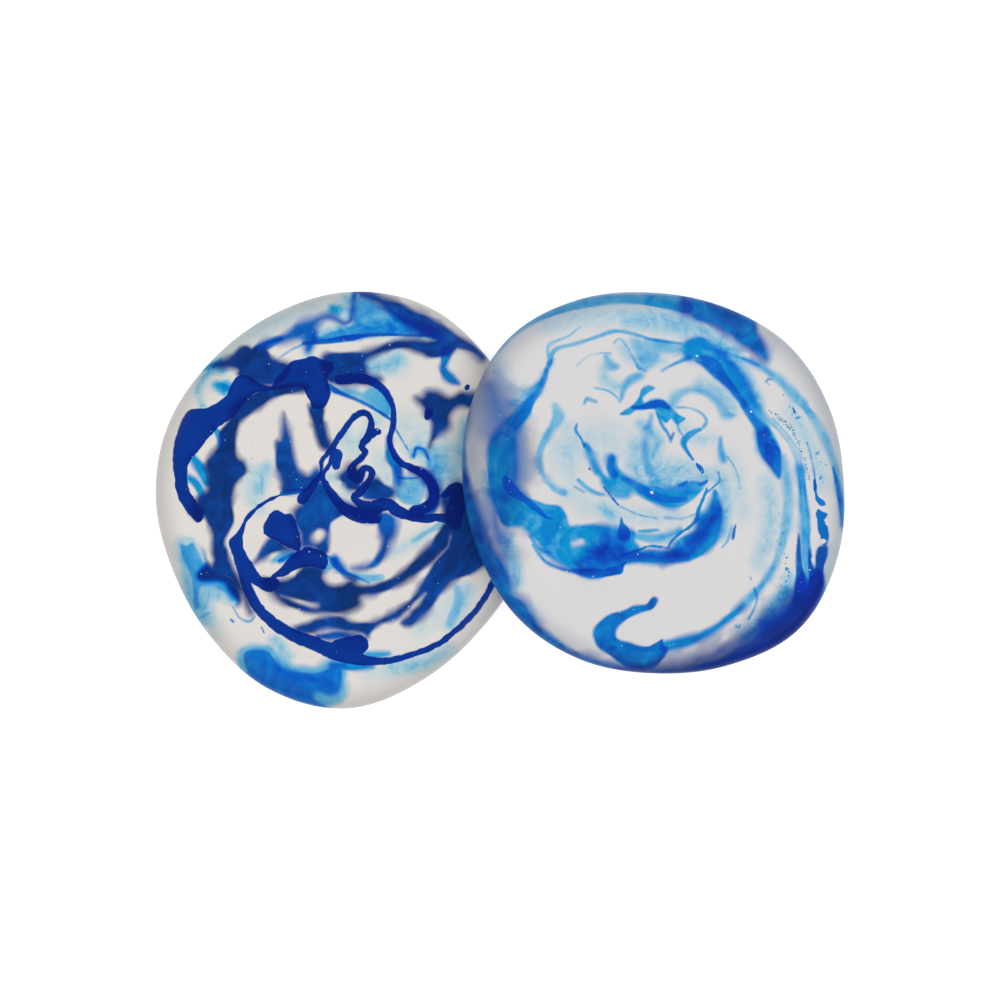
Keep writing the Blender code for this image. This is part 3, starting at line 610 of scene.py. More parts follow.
UPPER_POOL_PATCHES = [
    (1.2, [(38.6, -28.4), (37.6, -33), (34.6, -36.4), (31, -39), (28.4, -41), (26, -43.6), (22, -45.6),
           (18, -48), (13, -49.6), (8, -51), (2, -51.8), (10, -53.6), (22, -52), (33, -46.6), (41, -40),
           (45.4, -33), (46.2, -27), (44.6, -24), (42, -27), (40, -25)]),
    (0.6, [(38.8, 4), (39.4, -2), (39.7, -8), (39.7, -14), (40, -20), (41, -25), (42.2, -29),
           (42.3, -23), (42.2, -18), (42.4, -13), (41.8, -7), (41, 0), (40.4, 4)]),
    (0.9, [(-29.6, 32.4), (-31.6, 28.4), (-34.4, 25.4), (-36.4, 22), (-40, 18.2), (-43.6, 14.4),
           (-46, 10.4), (-46.4, 5), (-46, -1), (-45, -5), (-43.4, -9), (-42.4, -11.4), (-39, -11.8),
           (-39.6, -6), (-39, -2), (-38.4, 4), (-38.6, 8), (-38.4, 12.6), (-36.4, 15.6), (-34.6, 18.4),
           (-34, 21), (-31.8, 24.6), (-30.4, 28.6), (-28.6, 33)]),
    (0.9, [(6.6, 37), (8.6, 38.8), (12, 39.6), (15, 38.2), (17, 36.4), (20, 33.4), (23, 30.4),
           (25.5, 26.6), (27.6, 22.4), (29.4, 18.6), (31.4, 14.6), (33.4, 11), (34.2, 8), (33.8, 3),
           (33, 2), (30, 5.6), (28, 9.6), (27.4, 13), (27.4, 15), (25.5, 18), (23.5, 21), (20.4, 25),
           (17, 28.4), (13.4, 32), (10, 33.4), (8, 34), (7, 35), (5.8, 36)]),
    (1.05, [(-43, 1), (-42.4, -11.5), (-37, -12), (-33, -16), (-30, -20), (-26, -22.5), (-22, -24.4),
            (-17, -25.6), (-10.4, -24.4), (-9, -22), (-6, -20.6), (-4.6, -18), (-6, -16), (-6, -13.6),
            (-9, -12.4), (-14, -11.6), (-20, -11.6), (-24, -12), (-25, -9), (-27, -6.5), (-31, -6),
            (-36, -3.5), (-39, 0)]),
    (1.05, [(3.6, -18.2), (5, -16.4), (8, -14.4), (10.6, -12.9), (10.8, -10), (12, -8), (13.4, -8),
            (15, -5), (15.8, -2.2), (16.6, -3), (17.6, -6), (18.2, -8.4), (18, -12), (16.8, -15.6),
            (14, -18.8), (10, -20.8), (6, -21.8), (1, -22.2), (-5, -21.6), (-9, -22), (-8, -19.6),
            (-2, -18.6)]),
    (0.85, [(-15.5, 1.5), (-14.6, -1), (-12, -4), (-8, -4), (-6.6, -2.8), (-3, -4.6), (1, -6.4),
            (4.4, -7), (8, -5.6), (11, -3.6), (12.6, -1), (10, 0.2), (6, -1.2), (2, -1.6), (-2, -1),
            (-5, 0.2), (-8, 1.6), (-10.4, 3.4), (-11.4, 6.6), (-12.8, 7.4), (-14, 6), (-13.6, 3.4),
            (-13, 1), (-14.6, 2), (-16, 4.4), (-17.6, 8), (-19.4, 10.8), (-20, 10), (-18.6, 6),
            (-17, 2.6)]),
    (0.35, [(-7, 39), (-3, 37.4), (0.4, 34.8), (-2.8, 30.6), (-4.6, 32), (-6, 36)]),
    (0.4, [(-3, 39), (6, 37.4), (6.6, 35.4), (2, 35.4), (-2, 36.6)]),
]
UPPER_POOL_HOLES = [
    [(-22.6, -16.6, 0.8), (-20.8, -16.2, 0.9)],
    [(12.6, -7.6, 0.3), (13.6, -5.4, 0.3)],
]
UPPER_MIDDLE = [
    (1.4, [(-21, -22.6, 0.8), (-17, -20.8, 2.6), (-12.6, -19, 3), (-8.6, -19.6, 1.4), (-3, -20, 0.8),
           (3, -20.2, 1), (8, -18.4, 1.6), (12, -14.6, 1.4), (15.6, -10, 1.2), (16.8, -7.4, 0.8)]),
    (0.9, [(-12.6, -15.6, 2), (-9, -15.4, 1)]),
]
UPPER_MIDDLE_PATCHES = [
    (1.7, [(6.6, 47), (9, 45), (14, 43.2), (19, 40.4), (23, 37.8), (27, 35), (30, 33), (31, 34.4),
           (29.8, 38), (27.6, 41), (27, 45), (22, 50), (15, 52), (8, 53)]),
    (1.8, [(-52.4, 3), (-50.6, -2), (-48.4, -8), (-46.4, -14), (-44.6, -18), (-42, -21), (-40.4, -26),
           (-39.6, -30), (-36, -32.6), (-33.6, -36), (-31, -40), (-26, -43.6), (-20, -46.8),
           (-12, -49.6), (-4, -51), (-12, -52), (-24, -49), (-36, -42), (-45, -31), (-51, -15),
           (-53, -4)]),
    (1.7, [(38.2, -28), (37.4, -32.4), (34.6, -34.8), (31, -36.6), (28, -38.4), (30, -40.4), (29, -43),
           (25, -46), (20, -48.6), (14, -51), (20, -51.4), (28, -50), (36, -46), (42, -40), (46, -33),
           (46.4, -26), (44.6, -24), (42, -27), (40, -25)]),
]
# Painted see-through shade: the lower coaster's dark dye seen through the left edge.
UPPER_DEEP_HAZE = [
    (1.7, [(-46, 26, 1.2), (-44.4, 22, 2.6), (-43.2, 17.6, 3), (-44.6, 13, 1.4)]),
    (1.2, [(-38.4, 12, 0.8), (-38, 6, 1), (-38.2, 0, 0.8)]),
    (1.5, [(-44.4, -6, 1), (-44.2, -11, 1.2), (-43, -16, 0.8)]),
]
UPPER_DEEP_PATCHES = [
    (3.2, [(38, -32), (34, -35), (30, -37.4), (27, -39.4), (22, -42.4), (16, -45.4), (10, -47.4),
           (4, -49.2), (-2, -50), (-10, -51.6), (0, -54), (20, -53), (34, -48), (42, -40)]),
]
# Painted see-through shade: a wide grey-blue haze over the left edge, above the lower coaster.
UPPER_SHADE = [
    (6, [(-47, 28, 2.6), (-46, 22, 5.6), (-43.4, 13, 8), (-42.6, 4, 8.6), (-44, -6, 6.2),
         (-44.6, -13, 4.4), (-42.4, -18, 2.2)]),
]
UPPER_WASH = [
    (0.5, 3, [(24, -42, 1), (30, -37.6, 1.4), (35.6, -31, 1.2)]),
    (0.3, 2.6, [(-8, 43.6, 1), (0, 44, 2.6), (8, 42.2, 2.6), (15, 39.6, 2), (22, 35.6, 1.2)]),
    (0.16, 4, [(-30, 43, 1.4), (-18, 45, 2), (-6, 46, 2)]),
    (0.6, 2.4, [(17, 36, 1), (21, 32.4, 1.4), (25, 27, 1.2), (28, 21, 0.8)]),
    (0.22, 2.4, [(-9, 36.6, 1), (-6, 33.6, 1.4), (1, 33.6, 1)]),
    (0.25, 2.2, [(-14.6, 31, 0.8), (-14, 27.6, 1), (-11, 26, 1)]),
    (0.09, 6, [(-26, 8, 3), (-16, 12, 4), (-4, 8, 4)]),
    (0.1, 4, [(-25, 14, 2), (-24, 4, 2), (-24, -4, 1)]),
    (0.12, 4, [(-44, 33, 1), (-40, 26, 1)]),
    (0.12, 4, [(47, -18, 1), (46, -28, 1)]),
    (0.26, 2.6, [(-5.6, 10, 1), (-6.2, 4, 1.6), (-3, 0, 2)]),
    (0.3, 3, [(1, 3, 2.4), (6, 3.4, 2.4), (11, 1.6, 1.6), (16, 2, 1)]),
    (0.35, 2, [(-4.6, 16, 0.6), (0, 12, 1.2), (-1, 8, 1.4)]),
    (0.5, 1.6, [(0, 0, 1.2), (4, -1, 1.4), (8.4, -2, 1.2)]),
    (0.25, 2.6, [(12, 27, 1), (17, 24.6, 1.4), (20.6, 20, 1.2)]),
    (0.16, 2.6, [(7, 15, 1.2), (11, 12, 1.4), (15.4, 12, 1)]),
    (0.2, 3, [(30, 0, 1.4), (31.6, -8, 1.8), (30.4, -16, 1.8), (28, -22, 1)]),
    (0.45, 2.2, [(18, 0, 0.6), (19, -8, 0.8), (17.8, -14.6, 0.6)]),
    (0.26, 2.6, [(-15, -7, 0.6), (-12.6, -8.6, 0.8)]),
    (0.1, 3, [(-20, -6, 2), (-6, -9, 2), (6, -9, 1.6)]),
    (0.45, 2.4, [(-46, 2, 1), (-45.4, -4, 1)]),
    (0.45, 2.6, [(-41.4, -15, 1), (-39.6, -21, 1.2), (-38.6, -27, 1)]),
    (0.35, 2.2, [(-36, 24, 1.2), (-39, 21, 1)]),
    (0.3, 2.4, [(-29.6, -15.6, 1.2), (-30.6, -18, 1.2)]),
    (0.3, 2.6, [(32, -35, 1), (35, -31, 1), (36.6, -26, 0.8)]),
    (0.1, 3.4, [(20, 6, 2), (24, -8, 2)]),
    (0.14, 3, [(37, 20, 1.6), (43, 9, 1.6), (46, -1, 1.4)]),
]
print("upper coaster, pools and washes", len(UPPER_POOLS + UPPER_POOL_PATCHES + UPPER_WASH))

# %% [markdown]
# The colour could be stored as plain vertex colours, but then an edge is only as sharp as
# the mesh. Instead each point stores how far it is from the edge of the nearest stroke,
# negative inside. The material turns that distance into a crisp or a blurred edge, and
# can ruffle it with noise, whatever the mesh.

# %% Distance from a point to a stroke
STROKE_STEP = 5        # pieces between two stations
CORNER_STEPS = (0.0, 0.34, 0.67)   # where a patch's outline is cut between two corners
NO_DYE = 20.0          # mm, a distance that counts as far away
REACH = 6.0            # mm round a stroke that is worked out


def near_box(places, low, high):
    """Which places lie in the box round a stroke or a patch, with the reach added."""
    return np.flatnonzero(((places > low - REACH) & (places < high + REACH)).all(axis=1))


def stroke_line(stations):
    """A smooth line through the stations."""
    rows = np.array([stations[0], *stations, stations[-1]], dtype=float)
    steps = np.arange(STROKE_STEP) / STROKE_STEP
    line = [catmull(*rows[k:k + 4], t) for k in range(len(rows) - 3) for t in steps]
    return np.array(line + [rows[-1]])


def stroke_distance(places, stations):
    """Distance in mm from each place to a stroke's edge, negative inside it."""
    line = stroke_line(stations)
    distance = np.full(len(places), NO_DYE)
    widest = line[:, 2].max()
    near = near_box(places, line[:, :2].min(axis=0) - widest, line[:, :2].max(axis=0) + widest)
    spot = places[near]
    best = np.full(len(near), NO_DYE)
    for start, end in zip(line[:-1], line[1:]):
        along = end[:2] - start[:2]
        length = max(along @ along, 1e-9)
        t = np.clip((spot - start[:2]) @ along / length, 0, 1)
        gap = spot - start[:2] - t[:, None] * along
        here = np.hypot(gap[:, 0], gap[:, 1]) - (start[2] + t * (end[2] - start[2]))
        best = np.minimum(best, here)
    distance[near] = best
    return distance


def patch_distance(places, corners):
    """Distance in mm to the edge of a patch of dye, negative inside it."""
    rows = np.array([corners[-1], *corners, *corners[:2]], dtype=float)
    corners = np.array([catmull(*rows[k:k + 4], t) for k in range(len(corners))
                        for t in CORNER_STEPS])
    distance = np.full(len(places), NO_DYE)
    near = near_box(places, corners.min(axis=0), corners.max(axis=0))
    spot = places[near]
    best = np.full(len(near), NO_DYE)
    inside = np.zeros(len(near), bool)
    for start, end in zip(corners, np.roll(corners, -1, axis=0)):
        along = end - start
        t = np.clip((spot - start) @ along / (along @ along), 0, 1)
        gap = spot - start - t[:, None] * along
        best = np.minimum(best, np.hypot(gap[:, 0], gap[:, 1]))
        crosses = (start[1] > spot[:, 1]) != (end[1] > spot[:, 1])
        with np.errstate(divide="ignore", invalid="ignore"):
            meet = start[0] + (spot[:, 1] - start[1]) * along[0] / along[1]
        inside ^= crosses & (spot[:, 0] < meet)
    distance[near] = np.where(inside, -best, best)
    return distance


print("dye is worked out up to", REACH, "mm from a stroke")

# %% [markdown]
# Where strokes of one layer meet, the nearest edge is the smallest of their distances. The
# amount of dye has to pass smoothly from one to the next, or a line would show between
# them, so it is an average in which a near or a strong stroke counts for most.

# %% Fields of a layer
BLEND = 0.3            # mm over which one stroke's amount passes to the next
DEEPEST = -0.9         # mm inside a stroke past which it counts no more
STRONG_FIRST = 2.0     # how far a strong stroke wins over a weak one


def layer_fields(places, strokes, patches=(), holes=()):
    """Nearest edge and amount of dye at each place, for all the strokes of a layer."""
    nearest = np.full(len(places), NO_DYE)
    weight = np.full(len(places), 1e-9)
    amount = np.zeros(len(places))
    rows = [(dye, stroke_distance(places, stations)) for dye, stations in strokes]
    rows += [(dye, patch_distance(places, corners)) for dye, corners in patches]
    for dye, distance in rows:
        nearest = np.minimum(nearest, distance)
        share = np.exp(-np.clip(distance, DEEPEST, NO_DYE) / BLEND + STRONG_FIRST * dye)
        weight += share
        amount += share * dye
    for stations in holes:
        nearest = np.maximum(nearest, -stroke_distance(places, stations))
    return nearest, amount / weight


def wash_field(places, washes):
    """Amount of thin dye at each place, fading out over each wash's softness."""
    amount = np.zeros(len(places))
    for dye, soft, stations in washes:
        t = np.clip(0.5 - stroke_distance(places, stations) / (2 * soft), 0, 1)
        amount += dye * t * t * (3 - 2 * t)
    return amount


def store(mesh, name, values, kind="FLOAT"):
    field = mesh.attributes.new(name, kind, "POINT")
    key = "value" if kind == "FLOAT" else "vector"
    field.data.foreach_set(key, np.asarray(values, dtype=np.float32).ravel())


print("amounts blend over", BLEND, "mm")

# %% [markdown]
# Every point of a casting gets its place, its depth and its distance from the rim, and for
# each layer the distance to the nearest edge and the amount of dye. The material could work
# out the strokes itself, but hundreds of them are too many nodes for one material.

# %% Dye the castings
LAYER_NAMES = ("shade", "deep", "middle", "pool", "thread", "surface")


def dye_casting(mesh, radii, layers, washes):
    """Store place, depth, rim distance and every layer's fields on the mesh."""
    points = mesh_points(mesh)
    places = points[:, :2]
    store(mesh, "place", points, "FLOAT_VECTOR")
    store(mesh, "depth", 1 - points[:, 2] / THICKNESS)
    angle = np.arctan2(places[:, 1], places[:, 0])
    store(mesh, "rim", rim_radius(radii, angle) - np.hypot(places[:, 0], places[:, 1]))
    for name in LAYER_NAMES:
        nearest, amount = layer_fields(places, *layers.get(name, ([],)))
        store(mesh, name + "_edge", nearest)
        store(mesh, name + "_dye", amount)
    store(mesh, "wash_dye", wash_field(places, washes))
    print(mesh.name, "dyed at", len(points), "points")


dye_casting(LOWER_MESH, LOWER_RADII, {
    "surface": (LOWER_SURFACE, LOWER_SURFACE_PATCHES),
    "thread": (LOWER_THREADS,),
    "pool": (LOWER_POOLS, LOWER_POOL_PATCHES),
    "middle": (LOWER_MIDDLE, LOWER_MIDDLE_PATCHES_AND_SHADOW, LOWER_MIDDLE_HOLES),
}, LOWER_WASH)
dye_casting(UPPER_MESH, UPPER_RADII, {
    "surface": (UPPER_SURFACE, [], UPPER_SURFACE_HOLES),
    "thread": (UPPER_THREADS, UPPER_THREAD_PATCHES, UPPER_THREAD_HOLES),
    "pool": (UPPER_POOLS, UPPER_POOL_PATCHES, UPPER_POOL_HOLES),
    "middle": (UPPER_MIDDLE, UPPER_MIDDLE_PATCHES),
    "deep": (UPPER_DEEP_HAZE, UPPER_DEEP_PATCHES),
    "shade": (UPPER_SHADE,),
}, UPPER_WASH)

# %% [markdown]
# A material is a tree of nodes. It could be put together by hand in the shader editor. In a
# script, short helpers for the nodes that come up again and again keep it easy to read.

# %% Node helpers
def add_node(tree, kind, **values):
    node = tree.nodes.new(kind)
    for key, value in values.items():
        setattr(node, key, value)
    return node


def feed(tree, target, value):
    """Link a socket to an input, or set the input to a number."""
    if isinstance(value, bpy.types.NodeSocket):
        tree.links.new(value, target)
    else:
        target.default_value = value


def math_node(tree, operation, *inputs):
    node = add_node(tree, "ShaderNodeMath", operation=operation)
    for target, value in zip(node.inputs, inputs):
        feed(tree, target, value)
    return node.outputs[0]


def mix_colour(tree, amount, first, second, blend="MIX"):
    node = add_node(tree, "ShaderNodeMix", data_type="RGBA", blend_type=blend)
    feed(tree, node.inputs["Factor"], amount)
    feed(tree, node.inputs[6], first)
    feed(tree, node.inputs[7], second)
    return node.outputs[2]


def attribute(tree, name, output="Fac"):
    return add_node(tree, "ShaderNodeAttribute", attribute_name=name).outputs[output]


def new_group(name, inputs, outputs):
    group = bpy.data.node_groups.new(name, "ShaderNodeTree")
    for label, kind, value in inputs:
        socket = group.interface.new_socket(label, in_out="INPUT", socket_type=kind)
        if value is not None:
            socket.default_value = value
    for label, kind in outputs:
        group.interface.new_socket(label, in_out="OUTPUT", socket_type=kind)
    return group, group.nodes.new("NodeGroupInput"), group.nodes.new("NodeGroupOutput")


def use_group(tree, group, **values):
    node = add_node(tree, "ShaderNodeGroup", node_tree=group)
    for label, value in values.items():
        feed(tree, node.inputs[label], value)
    return node.outputs[0]


print("node helpers ready")

# %% [markdown]
# Dye in resin takes light away bit by bit: twice the dye lets through the square of the
# light. One blue dye then gives pale cyan where it is thin and navy where it is thick,
# which is how the real pour gets all its blues from one bottle. Each layer is a group
# that dims what lies behind it and then lets some milk veil it.

# %% One layer of dye
RED_LOSS = 3.0                # how fast each colour of light dies away in the dye
GREEN_LOSS = 1.06
BLUE_LOSS = (0.14, 0.10)     # blue dies away faster where the dye is thick
RED_FLOOR = 0.07              # the last of the red, which is too weak to see
EDGE_SPREAD = (-0.65, 1.35)   # where a blurred edge starts and ends, in softnesses
DYE_GLOW = (0.001, 0.019, 0.094, 1.0)   # what very thick dye sends back by itself
FACE_GLOW = (0.0, 0.010, 0.122, 1.0)    # the same for dye right at the face
COLOUR, FLOAT, VECTOR = "NodeSocketColor", "NodeSocketFloat", "NodeSocketVector"


def make_dye_layer():
    group, given, result = new_group("dye_layer", [
        ("Behind", COLOUR, (1, 1, 1, 1)), ("Milk", COLOUR, (1, 1, 1, 1)),
        ("Edge", FLOAT, NO_DYE), ("Softness", FLOAT, 0.2), ("Amount", FLOAT, 1.0),
        ("Veil", FLOAT, 0.0), ("Glow", COLOUR, DYE_GLOW)], [("Colour", COLOUR)])
    ramp = add_node(group, "ShaderNodeMapRange", interpolation_type="SMOOTHSTEP")
    feed(group, ramp.inputs["Value"], given.outputs["Edge"])
    feed(group, ramp.inputs["From Min"],
         math_node(group, "MULTIPLY", given.outputs["Softness"], EDGE_SPREAD[0]))
    feed(group, ramp.inputs["From Max"],
         math_node(group, "MULTIPLY", given.outputs["Softness"], EDGE_SPREAD[1]))
    ramp.inputs["To Min"].default_value = 1.0
    ramp.inputs["To Max"].default_value = 0.0
    dye = given.outputs["Amount"]
    red = math_node(group, "EXPONENT", math_node(group, "MULTIPLY", dye, -RED_LOSS))
    red = math_node(group, "DIVIDE", math_node(group, "SUBTRACT", red, RED_FLOOR),
                    1 - RED_FLOOR)
    green = math_node(group, "EXPONENT", math_node(group, "MULTIPLY", dye, -GREEN_LOSS))
    fade = math_node(group, "MULTIPLY_ADD", dye, -BLUE_LOSS[1], -BLUE_LOSS[0])
    blue = math_node(group, "EXPONENT", math_node(group, "MULTIPLY", dye, fade))
    passed = add_node(group, "ShaderNodeCombineColor")
    for k, share in enumerate((math_node(group, "MAXIMUM", red, 0.0), green, blue)):
        feed(group, passed.inputs[k], share)
    dimmed = mix_colour(group, 1.0, given.outputs["Behind"], passed.outputs[0], "MULTIPLY")
    glow = mix_colour(group, green, given.outputs["Glow"], (0, 0, 0, 1))
    dimmed = mix_colour(group, 1.0, dimmed, glow, "ADD")
    veiled = mix_colour(group, given.outputs["Veil"], dimmed, given.outputs["Milk"])
    shown = mix_colour(group, ramp.outputs["Result"], given.outputs["Behind"], veiled)
    feed(group, result.inputs["Colour"], shown)
    return group


DYE_LAYER = make_dye_layer()
print(DYE_LAYER.name, len(DYE_LAYER.nodes), "nodes")

# %% [markdown]
# Real edges of a pour are never a clean offset curve. They wander by a few tenths of a
# millimetre and pull out small teeth. This group ruffles a distance with two sizes of
# noise, and every layer uses it with its own strength.

# %% Ruffled edges
def make_ruffle():
    group, given, result = new_group("ruffled_edge", [
        ("Place", VECTOR, None), ("Edge", FLOAT, NO_DYE), ("Wander", FLOAT, 0.3),
        ("Size", FLOAT, 0.2), ("Detail", FLOAT, 2.0)], [("Edge", FLOAT)])
    noise = add_node(group, "ShaderNodeTexNoise")
    feed(group, noise.inputs["Detail"], given.outputs["Detail"])
    noise.inputs["Roughness"].default_value = 0.5
    noise.inputs["Distortion"].default_value = 0.4
    feed(group, noise.inputs["Vector"], given.outputs["Place"])
    feed(group, noise.inputs["Scale"], given.outputs["Size"])
    swing = math_node(group, "MULTIPLY",
                      math_node(group, "SUBTRACT", noise.outputs["Fac"], 0.5),
                      math_node(group, "MULTIPLY", given.outputs["Wander"], 2.0))
    feed(group, result.inputs["Edge"],
         math_node(group, "ADD", given.outputs["Edge"], swing))
    return group


RUFFLE = make_ruffle()
print(RUFFLE.name, len(RUFFLE.nodes), "nodes")

# %% [markdown]
# Inside a stroke the dye isn't even. The stirring drew it out into streaks that run along
# the stroke. Plain noise would make blotches, so this group stretches it: the distance
# from the stroke's edge is one of its axes.

# %% Streaks along a stroke
NOISE_BAND = (0.3, 0.7)       # most of a noise's values lie between these


def make_streaks():
    """Streaks that follow a stroke: they change fast across it and slowly along it."""
    group, given, result = new_group("flow_streaks", [
        ("Place", VECTOR, None), ("Edge", FLOAT, 0.0), ("Across", FLOAT, 1.0),
        ("Along", FLOAT, 0.1), ("Low", FLOAT, 0.5), ("High", FLOAT, 1.5)],
        [("Value", FLOAT)])
    parts = add_node(group, "ShaderNodeSeparateXYZ")
    feed(group, parts.inputs[0], given.outputs["Place"])
    vector = add_node(group, "ShaderNodeCombineXYZ")
    feed(group, vector.inputs[0],
         math_node(group, "MULTIPLY", given.outputs["Edge"], given.outputs["Across"]))
    for k in (0, 1):
        feed(group, vector.inputs[k + 1],
             math_node(group, "MULTIPLY", parts.outputs[k], given.outputs["Along"]))
    noise = add_node(group, "ShaderNodeTexNoise")
    noise.inputs["Scale"].default_value = 1.0
    noise.inputs["Detail"].default_value = 4.0
    noise.inputs["Roughness"].default_value = 0.6
    noise.inputs["Distortion"].default_value = 0.8
    feed(group, noise.inputs["Vector"], vector.outputs[0])
    spread = add_node(group, "ShaderNodeMapRange")
    feed(group, spread.inputs["Value"], noise.outputs["Fac"])
    spread.inputs["From Min"].default_value = NOISE_BAND[0]
    spread.inputs["From Max"].default_value = NOISE_BAND[1]
    feed(group, spread.inputs["To Min"], given.outputs["Low"])
    feed(group, spread.inputs["To Max"], given.outputs["High"])
    feed(group, result.inputs["Value"], spread.outputs["Result"])
    return group


STREAKS = make_streaks()
print(STREAKS.name, len(STREAKS.nodes), "nodes")

# %% [markdown]
# The faint washes hold hairlines of dye, like smoke. They could be more strokes, but there
# are too many and none matters by itself. Where a stirred noise passes its middle value it
# draws long thin curls, and only those are kept.

# %% Wisps
def make_wisps():
    """Hairlines of dye: where a stirred noise passes its middle value."""
    group, given, result = new_group("wisps", [
        ("Place", VECTOR, None), ("Size", FLOAT, 0.1), ("Width", FLOAT, 0.03)],
        [("Value", FLOAT)])
    noise = add_node(group, "ShaderNodeTexNoise")
    noise.inputs["Detail"].default_value = 1.5
    noise.inputs["Distortion"].default_value = 3.0
    feed(group, noise.inputs["Vector"], given.outputs["Place"])
    feed(group, noise.inputs["Scale"], given.outputs["Size"])
    off = math_node(group, "ABSOLUTE",
                    math_node(group, "SUBTRACT", noise.outputs["Fac"], 0.5))
    line = add_node(group, "ShaderNodeMapRange", interpolation_type="SMOOTHSTEP")
    feed(group, line.inputs["Value"], off)
    feed(group, line.inputs["From Max"], given.outputs["Width"])
    line.inputs["To Min"].default_value = 1.0
    line.inputs["To Max"].default_value = 0.0
    feed(group, result.inputs["Value"], line.outputs["Result"])
    return group


WISPS = make_wisps()
print(WISPS.name, len(WISPS.nodes), "nodes")


# %% [markdown]
# The resin itself is satin, because the mould was matt: a broad soft shine over a very
# fine grain. It lets light in, so it is given some subsurface scatter. The milk is
# warmer in the lower coaster than in the upper one, and both get painted shade towards
# the rim: a grey laid into the colour where the rolled edge turns away from the light.

# %% Milky resin material
LAYERS = (             # name, depth as a share of the thickness, softness, wander, veil
    # the shade layer is painted see-through shade, the lower coaster seen through the upper one
    ("shade", 0.95, 3.4, 2.0, 0.62),
    ("deep", 0.75, 3.0, 2.0, 0.10),
    ("middle", 0.30, 1.30, 1.8, 0.0),
    ("pool", 0.12, 0.75, 1.2, 0.0),
    ("thread", 0.04, 0.28, 0.4, 0.0),
    ("surface", 0.0, 0.12, 0.9, 0.0),
)
STREAK_SPREAD = {"shade": (0.8, 1.25), "deep": (0.8, 1.25), "middle": (0.90, 1.12),
                 "pool": (0.88, 1.15), "thread": (0.88, 1.15), "surface": (0.94, 1.08)}
CLOUDY_LAYERS = ("pool", "thread", "middle")   # layers whose dye is uneven in itself
NOISES = {             # scale per mm, detail, distortion
    "body": (0.06, 4.0, 1.2),       # slow clouds in the milk
    "flow": (0.16, 5.0, 2.5),       # uneven washes
    "cloudy": (0.11, 3.0, 1.6),     # uneven dye
    "melt": (0.13, 1.0, 0.6),       # where an edge is softer or crisper
    "grain": (4.0, 3.0, 0.0),       # the matt mould's grain
}
FLOW = (0.5, 1.4)      # a wash varies between these shares of its amount
FULLEST = 1.3          # and a stroke's dye goes up to this share of its own
MELT_BAND = (0.35, 0.65)   # a narrower part of the noise, so the change is quicker
MELT = (0.6, 2.0)      # an edge varies between these shares of its softness
WISP_SIZE = {"Size": 0.05, "Width": 0.05}   # curls per mm, and how thick they are drawn
WISP_WASH = (0.02, 0.3)   # amounts of wash where wisps start and where they are full
WISP_DYE = 0.16
NEAR_FACE = 0.1        # a layer that lies less deep than this has a finely ruffled edge
FINE_RUFFLE = {"Size": 0.42, "Detail": 2.0}
BROAD_RUFFLE = {"Size": 0.16, "Detail": 0.6}
STREAK_SIZE = {"Across": 0.45, "Along": 0.07}   # how fast streaks change, per mm
SOFT_BY_DEPTH = 3.0    # mm of blur when a layer is seen through the whole thickness
VEIL_BY_DEPTH = 0.35   # share of milk over it at the same depth
THIN_MILK = 0.93       # the darker milk in the clouds of the body
# painted shade darkens the edge over this band from the rim
RIM_SHADE_BAND = 8.0         # mm from the rim over which the edge turns grey
ROUGHNESS = (0.30, 0.46)   # of the satin face, from the smoothest grain to the coarsest
GRAIN_STRENGTH = 0.05
GRAIN_HEIGHT = 0.0002  # m
RESIN_IOR = 1.5
SHINE = 0.08           # low, as on a matt casting
SCATTER = 0.25         # share of the light that spreads inside bare milk
SCATTER_REACH = 0.001  # m
SCATTERS_FROM = (0.25, 0.6)   # red of the resin where scatter starts and where it is full


def noise_node(tree, place, scale, detail, distortion=0.0):
    noise = add_node(tree, "ShaderNodeTexNoise")
    feed(tree, noise.inputs["Vector"], place)
    noise.inputs["Scale"].default_value = scale
    noise.inputs["Detail"].default_value = detail
    noise.inputs["Distortion"].default_value = distortion
    return noise.outputs["Fac"]


def span(tree, value, low, high, to_low, to_high, kind="LINEAR"):
    node = add_node(tree, "ShaderNodeMapRange", interpolation_type=kind)
    feed(tree, node.inputs["Value"], value)
    for label, number in zip(("From Min", "From Max", "To Min", "To Max"),
                             (low, high, to_low, to_high)):
        node.inputs[label].default_value = number
    return node.outputs["Result"]


